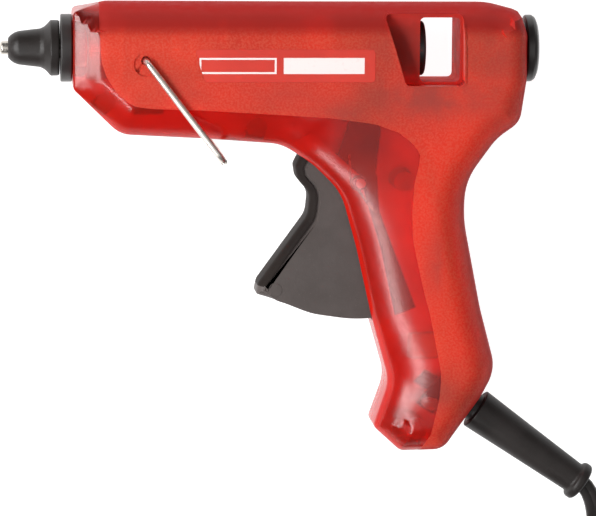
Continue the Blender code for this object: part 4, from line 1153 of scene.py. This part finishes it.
# ---------------------------------------------------------------- nozzle end
t = TIP_U
prof = soft_profile(
    [
        (-91.15, 2.46), (-91.45, 3.0), (-90.6, 4.0), (-89.5, 4.75), (-88.2, 5.25), (-85.0, 5.65), (-81.4, 6.05), (-80.2, 6.6), (-79.2, 7.5), (-78.5, 8.3),
        (-78.1, 8.75), (-75.9, 8.7), (-75.4, 8.4), (-75.4, 5.42), (-85.6, 5.42), (-86.6, 2.46),
    ],
    0.35, 4,
)
piece("nozzle_cap_soft", lathe(prof, 72), M["rubber"], nodes=("nozzle_cap",), angle=50)
prof = soft_profile(
    [
        (t + 0.9, 1.15), (t, 1.35), (t, 1.7), (t + 0.5, TIP_R), (-91.9, TIP_R), (-85.8, TIP_R), (-85.0, 5.1), (-76.0, 5.1), (-76.0, 4.3), (-68.3, 4.3),
        (-68.3, 2.1), (t + 3.9, 2.1), (t + 2.6, 1.95),
    ],
    0.2, 3,
)
piece("nozzle_turned", lathe(prof, 64), M["tip"], nodes=("nozzle_body",))
a, b = RING_U
prof = soft_profile(
    [(a, 4.62), (a, RING_R - 0.3), (a + 0.3, RING_R), (b - 0.3, RING_R), (b, RING_R - 0.3), (b, 8.2), (-68.4, 8.2), (-68.4, 4.62)], 0.25, 3
)
piece("nozzle_collar", lathe(prof, 80), M["ring"], nodes=("nozzle_flange_ring",))

# ---------------------------------------------------------------- glue inlet
a, b, r = INLET
prof = soft_profile(
    [
        (a, 6.6), (a, r - 0.3), (a + 0.4, r), (71.1, r), (71.1, INLET_RING_R - 0.35), (71.4, INLET_RING_R), (73.2, INLET_RING_R),
        (74.2, 9.9), (b, 8.3), (b, 6.9), (74.0, 6.1), (52.4, 6.0),
    ],
    0.28, 4,
)
piece("inlet_collar", lathe(prof, 80), M["ring"], nodes=("rear_inlet_ring",))

# ---------------------------------------------------------------- chamber, hose, carriage
a, b, r = CHAMBER
prof = [(a, 2.6), (a, 7.4), (a + 3, 7.4), (a + 3, r)]
for i in range(6):
    s = -56.0 + 5.0 * i
    prof += [(s, r), (s, r - 0.5), (s + 1.2, r - 0.5), (s + 1.2, r)]
prof += [(-26, r), (-26, 7.4), (b, 7.4), (b, STICK_R), (-60, STICK_R - 0.4), (-64, 2.6)]
piece("chamber_cast", lathe(soft_profile(prof, 0.25, 2), 64), M["alu"], nodes=("melt_chamber",))
a, b, r = HOSE
prof = soft_profile([(a, STICK_R), (a, r), (-14.0, r), (-13.4, r - 0.3), (-10.0, r - 0.3), (-9.4, r), (b - 1.0, r), (b, r - 0.8), (b, STICK_R)], 0.4, 4)
piece("hose_moulded", lathe(prof, 64), M["silicone"], nodes=("inlet_hose",))


def carriage():
    u0, u1, r = SLEEVE
    d0, d1, dr = DISC
    prof = soft_profile(
        [(u0, STICK_R), (u0, r - 0.5), (u0 + 0.5, r), (d0 - 0.4, r), (d0, dr - 0.3), (d0 + 0.3, dr), (d1 - 0.6, dr), (d1, dr - 0.6), (d1, STICK_R)],
        0.35, 3,
    )
    bm = lathe(prof, 64)
    bm = boolean(bm, block(PIN[0] - 3.6, PIN[0] + 3.6, PIN[1] - 2.8, -6.6, -5.6, 5.6, 0.3), "UNION")
    bm = boolean(bm, disc(PIN, 1.56, -20, 20, 28), "DIFFERENCE")
    return boolean(bm, block(24.0, 33.0, 3.0, 20, -2.9, 2.9), "DIFFERENCE")


piece("carriage_moulded", carriage(), M["ring"], "carriage", ("feed_carriage",))


# ---------------------------------------------------------------- trigger
def smoothstep(x):
    x = np.clip(x, 0, 1)
    return x * x * (3 - 2 * x)


def fine_trigger():
    p = PIVOT
    arc = []
    a1 = math.atan2(-84.6 - p[1], 12.7 - p[0])
    a2 = math.atan2(-80.6 - p[1], 37.0 - p[0])
    for i in range(16):
        a = a1 + (a2 - a1) * i / 15
        arc.append((p[0] + TRIGGER_SWEEP_R * math.cos(a), p[1] + TRIGGER_SWEEP_R * math.sin(a)))
    front = [
        (4.5, -30.2, 1.5), (1.2, -31.0, 1.4), (-1.7, -36.8, 2.0), (-1.1, -40.6, 4.0), (3.0, -45.3, 5.0), (2.3, -52.3, 7.0),
        (-13.1, -73.6, 4.0), (-13.8, -77.2, 0.8), (-4.7, -79.9, 30.0), (3.6, -83.2, 24.0),
    ]
    back = [(33.0, -70.0, 0), (25.4, -50.0, 8.0), (24.2, -38.0, 5.0), (18.0, -33.6, 4.0)]
    loop, _ = rounded(front + [(x, y, 0) for x, y in arc] + back, 0.012, 1.6)
    if signed_area(loop) < 0:
        loop = loop[::-1]
    nrm = normals_in(loop)
    for _ in range(30):
        nrm = nrm + 0.5 * (np.roll(nrm, 1, 0) + np.roll(nrm, -1, 0))
        nrm /= np.linalg.norm(nrm, axis=1)[:, None]
    # how much of the rounding each place takes: all of it on the finger side, none past the tip or in the slot
    ease = smoothstep((nrm[:, 0] - 0.15) / 0.4) * smoothstep((loop[:, 1] + 79.4) / 2.2) * smoothstep((-30.6 - loop[:, 1]) / 1.2)
    # section from the middle out to the cheek: (inset, width)
    half = [(0.0, 4.6)]
    for i in range(1, 8):
        a = math.pi / 2 * i / 7
        half.append((2.5 * (1 - math.cos(a)), 4.6 + 3.3 * math.sin(a)))
    half += [(2.75, 7.55), (3.1, 7.5), (3.3, 7.9), (3.55, TRIGGER_W)]
    base = np.array([4.6 + (TRIGGER_W - 4.6) * min(1.0, i / 8) for i in range(len(half))])
    levels = [(c, w, b) for (c, w), b in zip(half, base)]
    rows = []
    bm = bmesh.new()
    for c, w, b in [(c, -w, -b) for c, w, b in levels[::-1]] + levels:
        q = loop + nrm * (ease * c)[:, None]
        z = b + (w - b) * ease
        rows.append([bm.verts.new((x, y, k)) for (x, y), k in zip(q, z)])
    n = len(loop)
    for lo, hi in zip(rows, rows[1:]):
        for i in range(n):
            j = (i + 1) % n
            bm.faces.new([lo[i], lo[j], hi[j], hi[i]])
    bm.faces.new(rows[0][::-1])
    bm.faces.new(rows[-1])
    bmesh.ops.remove_doubles(bm, verts=bm.verts, dist=1e-4)
    bmesh.ops.dissolve_degenerate(bm, dist=1e-4, edges=bm.edges)
    bmesh.ops.recalc_face_normals(bm, faces=bm.faces)
    bmesh.ops.triangulate(bm, faces=bm.faces)
    bm = boolean(
        bm,
        prism([(7.6, -52.0), (24.0, -52.0), (44.0, -66.0), (44.0, -90.0), (27.0, -81.5), (4.0, -79.5), (-6.5, -74.0)], -6.4, 6.4),
        "DIFFERENCE",
    )
    for s in (-1, 1):
        lo, hi = (6.5, TRIGGER_W) if s > 0 else (-TRIGGER_W, -6.5)
        arm = rounded(
            [(12.0, -44.0, 0), (11.5, -34.0, 3), (18.6, -9.6, 0.5), (PIN[0] + 3.8, -7.3, 2.5), (25.4, -14.0, 4), (23.8, -40.0, 0)],
            0.04, 30,
        )[0]
        bm = boolean(bm, prism(arm, lo, hi), "UNION", "EXACT")
    slot = rounded(
        [(PIN[0] - 1.75, PIN[1] - 2.2, 1.7), (PIN[0] + 1.75, PIN[1] - 2.2, 1.7), (PIN[0] + 1.75, PIN[1] + 2.2, 1.7), (PIN[0] - 1.75, PIN[1] + 2.2, 1.7)],
        0.03, 30,
    )[0]
    bm = boolean(bm, prism(slot, -20, 20), "DIFFERENCE")
    bm = boolean(bm, block(-10, 40, -33.0, 0, -6.5, 6.5), "DIFFERENCE")
    bm = boolean(bm, disc(PIVOT, 1.62, -20, 20, 32), "DIFFERENCE")
    # ejector mark
    for s in (1, -1):
        lo, hi = sorted((s * (TRIGGER_W - 0.14), s * 12.0))
        bm = boolean(bm, lathe([(lo, 2.0), (lo, 2.3), (hi, 2.3), (hi, 2.0)], 40, "w", (-7.7, -75.7)), "DIFFERENCE")
    # the rounded finger side is drawn in a darker, rougher material
    mid = np.array([f.calc_center_median() for f in bm.faces])
    d, k, _, _ = near(mid[:, :2], loop)
    for f, far, e, v in zip(bm.faces, d, ease[k], mid[:, 1]):
        f.material_index = 1 if e > 0.4 and far < 2.55 and -74.6 < v < -33.0 else 0
    return bm


piece("trigger_moulded", fine_trigger(), [M["grey"], M["finger"]], "trigger", ("trigger",), angle=34)

# ---------------------------------------------------------------- stand
fine_stand = smooth_path(stand_path(), 1.1)
piece("stand_wire", tube(fine_stand, WIRE_R, 20), M["wire"], "stand", ("stand",), angle=60)


# ---------------------------------------------------------------- cord sleeve
def sleeve():
    prof = soft_profile(
        [
            (-7.6, 3.1), (-7.6, 6.6), (-5.6, 6.6), (-5.6, 4.6), (0.4, 4.6), (0.4, 6.6), (16.0, 5.9), (28.0, 5.4), (39.2, 4.95),
            (39.7, 5.3), (40.1, 6.0), (40.8, 6.3), (42.2, 6.3), (42.9, 5.7), (42.9, 4.3), (36.0, 3.1),
        ],
        0.45, 4,
    )
    bm = lathe(prof, 64)
    bmesh.ops.translate(bm, verts=bm.verts, vec=(CORD_AXIS[0], CORD_AXIS[1], 0))
    return turn_mesh(bm, CORD_ANGLE, CORD_AXIS)


piece("bend_sleeve", sleeve(), M["sleeve"], nodes=("strain_relief",), angle=50)

# ---------------------------------------------------------------- pieces that stay as packed
KEPT = {
    "valve_ball": "tip", "valve_spring": "steel", "front_support": "ceramic", "rear_support": "ceramic", "heater_element": "ceramic",
    "heater_clip": "steel", "thermal_fuse": "steel", "hose_clip": "steel", "trigger_pin": "steel", "trigger_spring": "steel",
    "carriage_pin": "steel", "feed_jaw": "steel", "cable_clamp": "black", "clamp_screw_1": "steel", "clamp_screw_2": "steel",
    "terminal_block": "ceramic", "heater_lead_a": "silicone", "heater_lead_b": "silicone",
}
for i in range(len(SCREWS)):
    KEPT[f"housing_screw_{i + 1}"] = "steel"
for node, mat in KEPT.items():
    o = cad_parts[node]
    me = o.data
    if len(me.materials):
        for i in range(len(me.materials)):
            me.materials[i] = M[mat]
    else:
        me.materials.append(M[mat])

# ---------------------------------------------------------------- floor, light
me = bpy.data.meshes.new("floor")
s = 3.0
me.from_pydata([(-s, -s, 0), (s, -s, 0), (s, s, 0), (-s, s, 0)], [], [(0, 1, 2, 3)])
floor = bpy.data.objects.new("floor", me)
bpy.context.scene.collection.objects.link(floor)
fm = bpy.data.materials.new("floor")
fm.use_nodes = True
b = fm.node_tree.nodes["Principled BSDF"]
b.inputs["Base Color"].default_value = (0.35, 0.35, 0.35, 1)
b.inputs["Roughness"].default_value = 0.9
b.inputs["Specular IOR Level"].default_value = 0.0
b.inputs["Emission Color"].default_value = (1, 1, 1, 1)
b.inputs["Emission Strength"].default_value = 0.95
me.materials.append(fm)


def area_light(name, direction, dist, size, power, roll=0.0, target=(0.0, 0.0, 0.02)):
    la = bpy.data.lights.new(name, "AREA")
    la.shape = "RECTANGLE"
    la.size, la.size_y = size
    la.energy = power
    ob = bpy.data.objects.new(name, la)
    d = Vector(direction).normalized()
    ob.location = Vector(target) + d * dist
    ref = Vector((0, 0, 1)) if abs(d.y) > 0.8 else Vector((0, 1, 0))
    y = (ref - d * ref.dot(d)).normalized()
    x = y.cross(d)
    c, s = math.cos(math.radians(roll)), math.sin(math.radians(roll))
    x, y = x * c + y * s, y * c - x * s
    ob.rotation_euler = Matrix((x, y, d)).transposed().to_euler()
    bpy.context.scene.collection.objects.link(ob)
    return ob


def radiance(size, value):
    """Power of a flat lamp whose face shows that brightness."""
    return value * math.pi * size[0] * size[1]


def at_angles(side, up):
    """Direction from degrees towards -X (side) and towards +Y (up), off +Z."""
    return (-math.tan(math.radians(side)), math.tan(math.radians(up)), 1.0)


LAMPS = [
    ("left_box", at_angles(41, 0), 1.3, (0.30, 2.2), 11.0, 14.0),
    ("nose_box", at_angles(54, 3), 1.3, (0.24, 0.5), 14.0, 0.0),
    ("front_dome", at_angles(-4, 0), 1.5, (2.0, 1.2), 0.6, 0.0),
]
for name, d, dist, size, value, roll in LAMPS:
    area_light(name, d, dist, size, radiance(size, value), roll)

world = bpy.data.worlds.new("world")
world.use_nodes = True
bg = world.node_tree.nodes["Background"]
bg.inputs["Color"].default_value = (1.0, 1.0, 1.0, 1)
bg.inputs["Strength"].default_value = 0.17
bpy.context.scene.world = world
bpy.context.scene.view_settings.view_transform = "Standard"
bpy.context.scene.view_settings.look = "None"
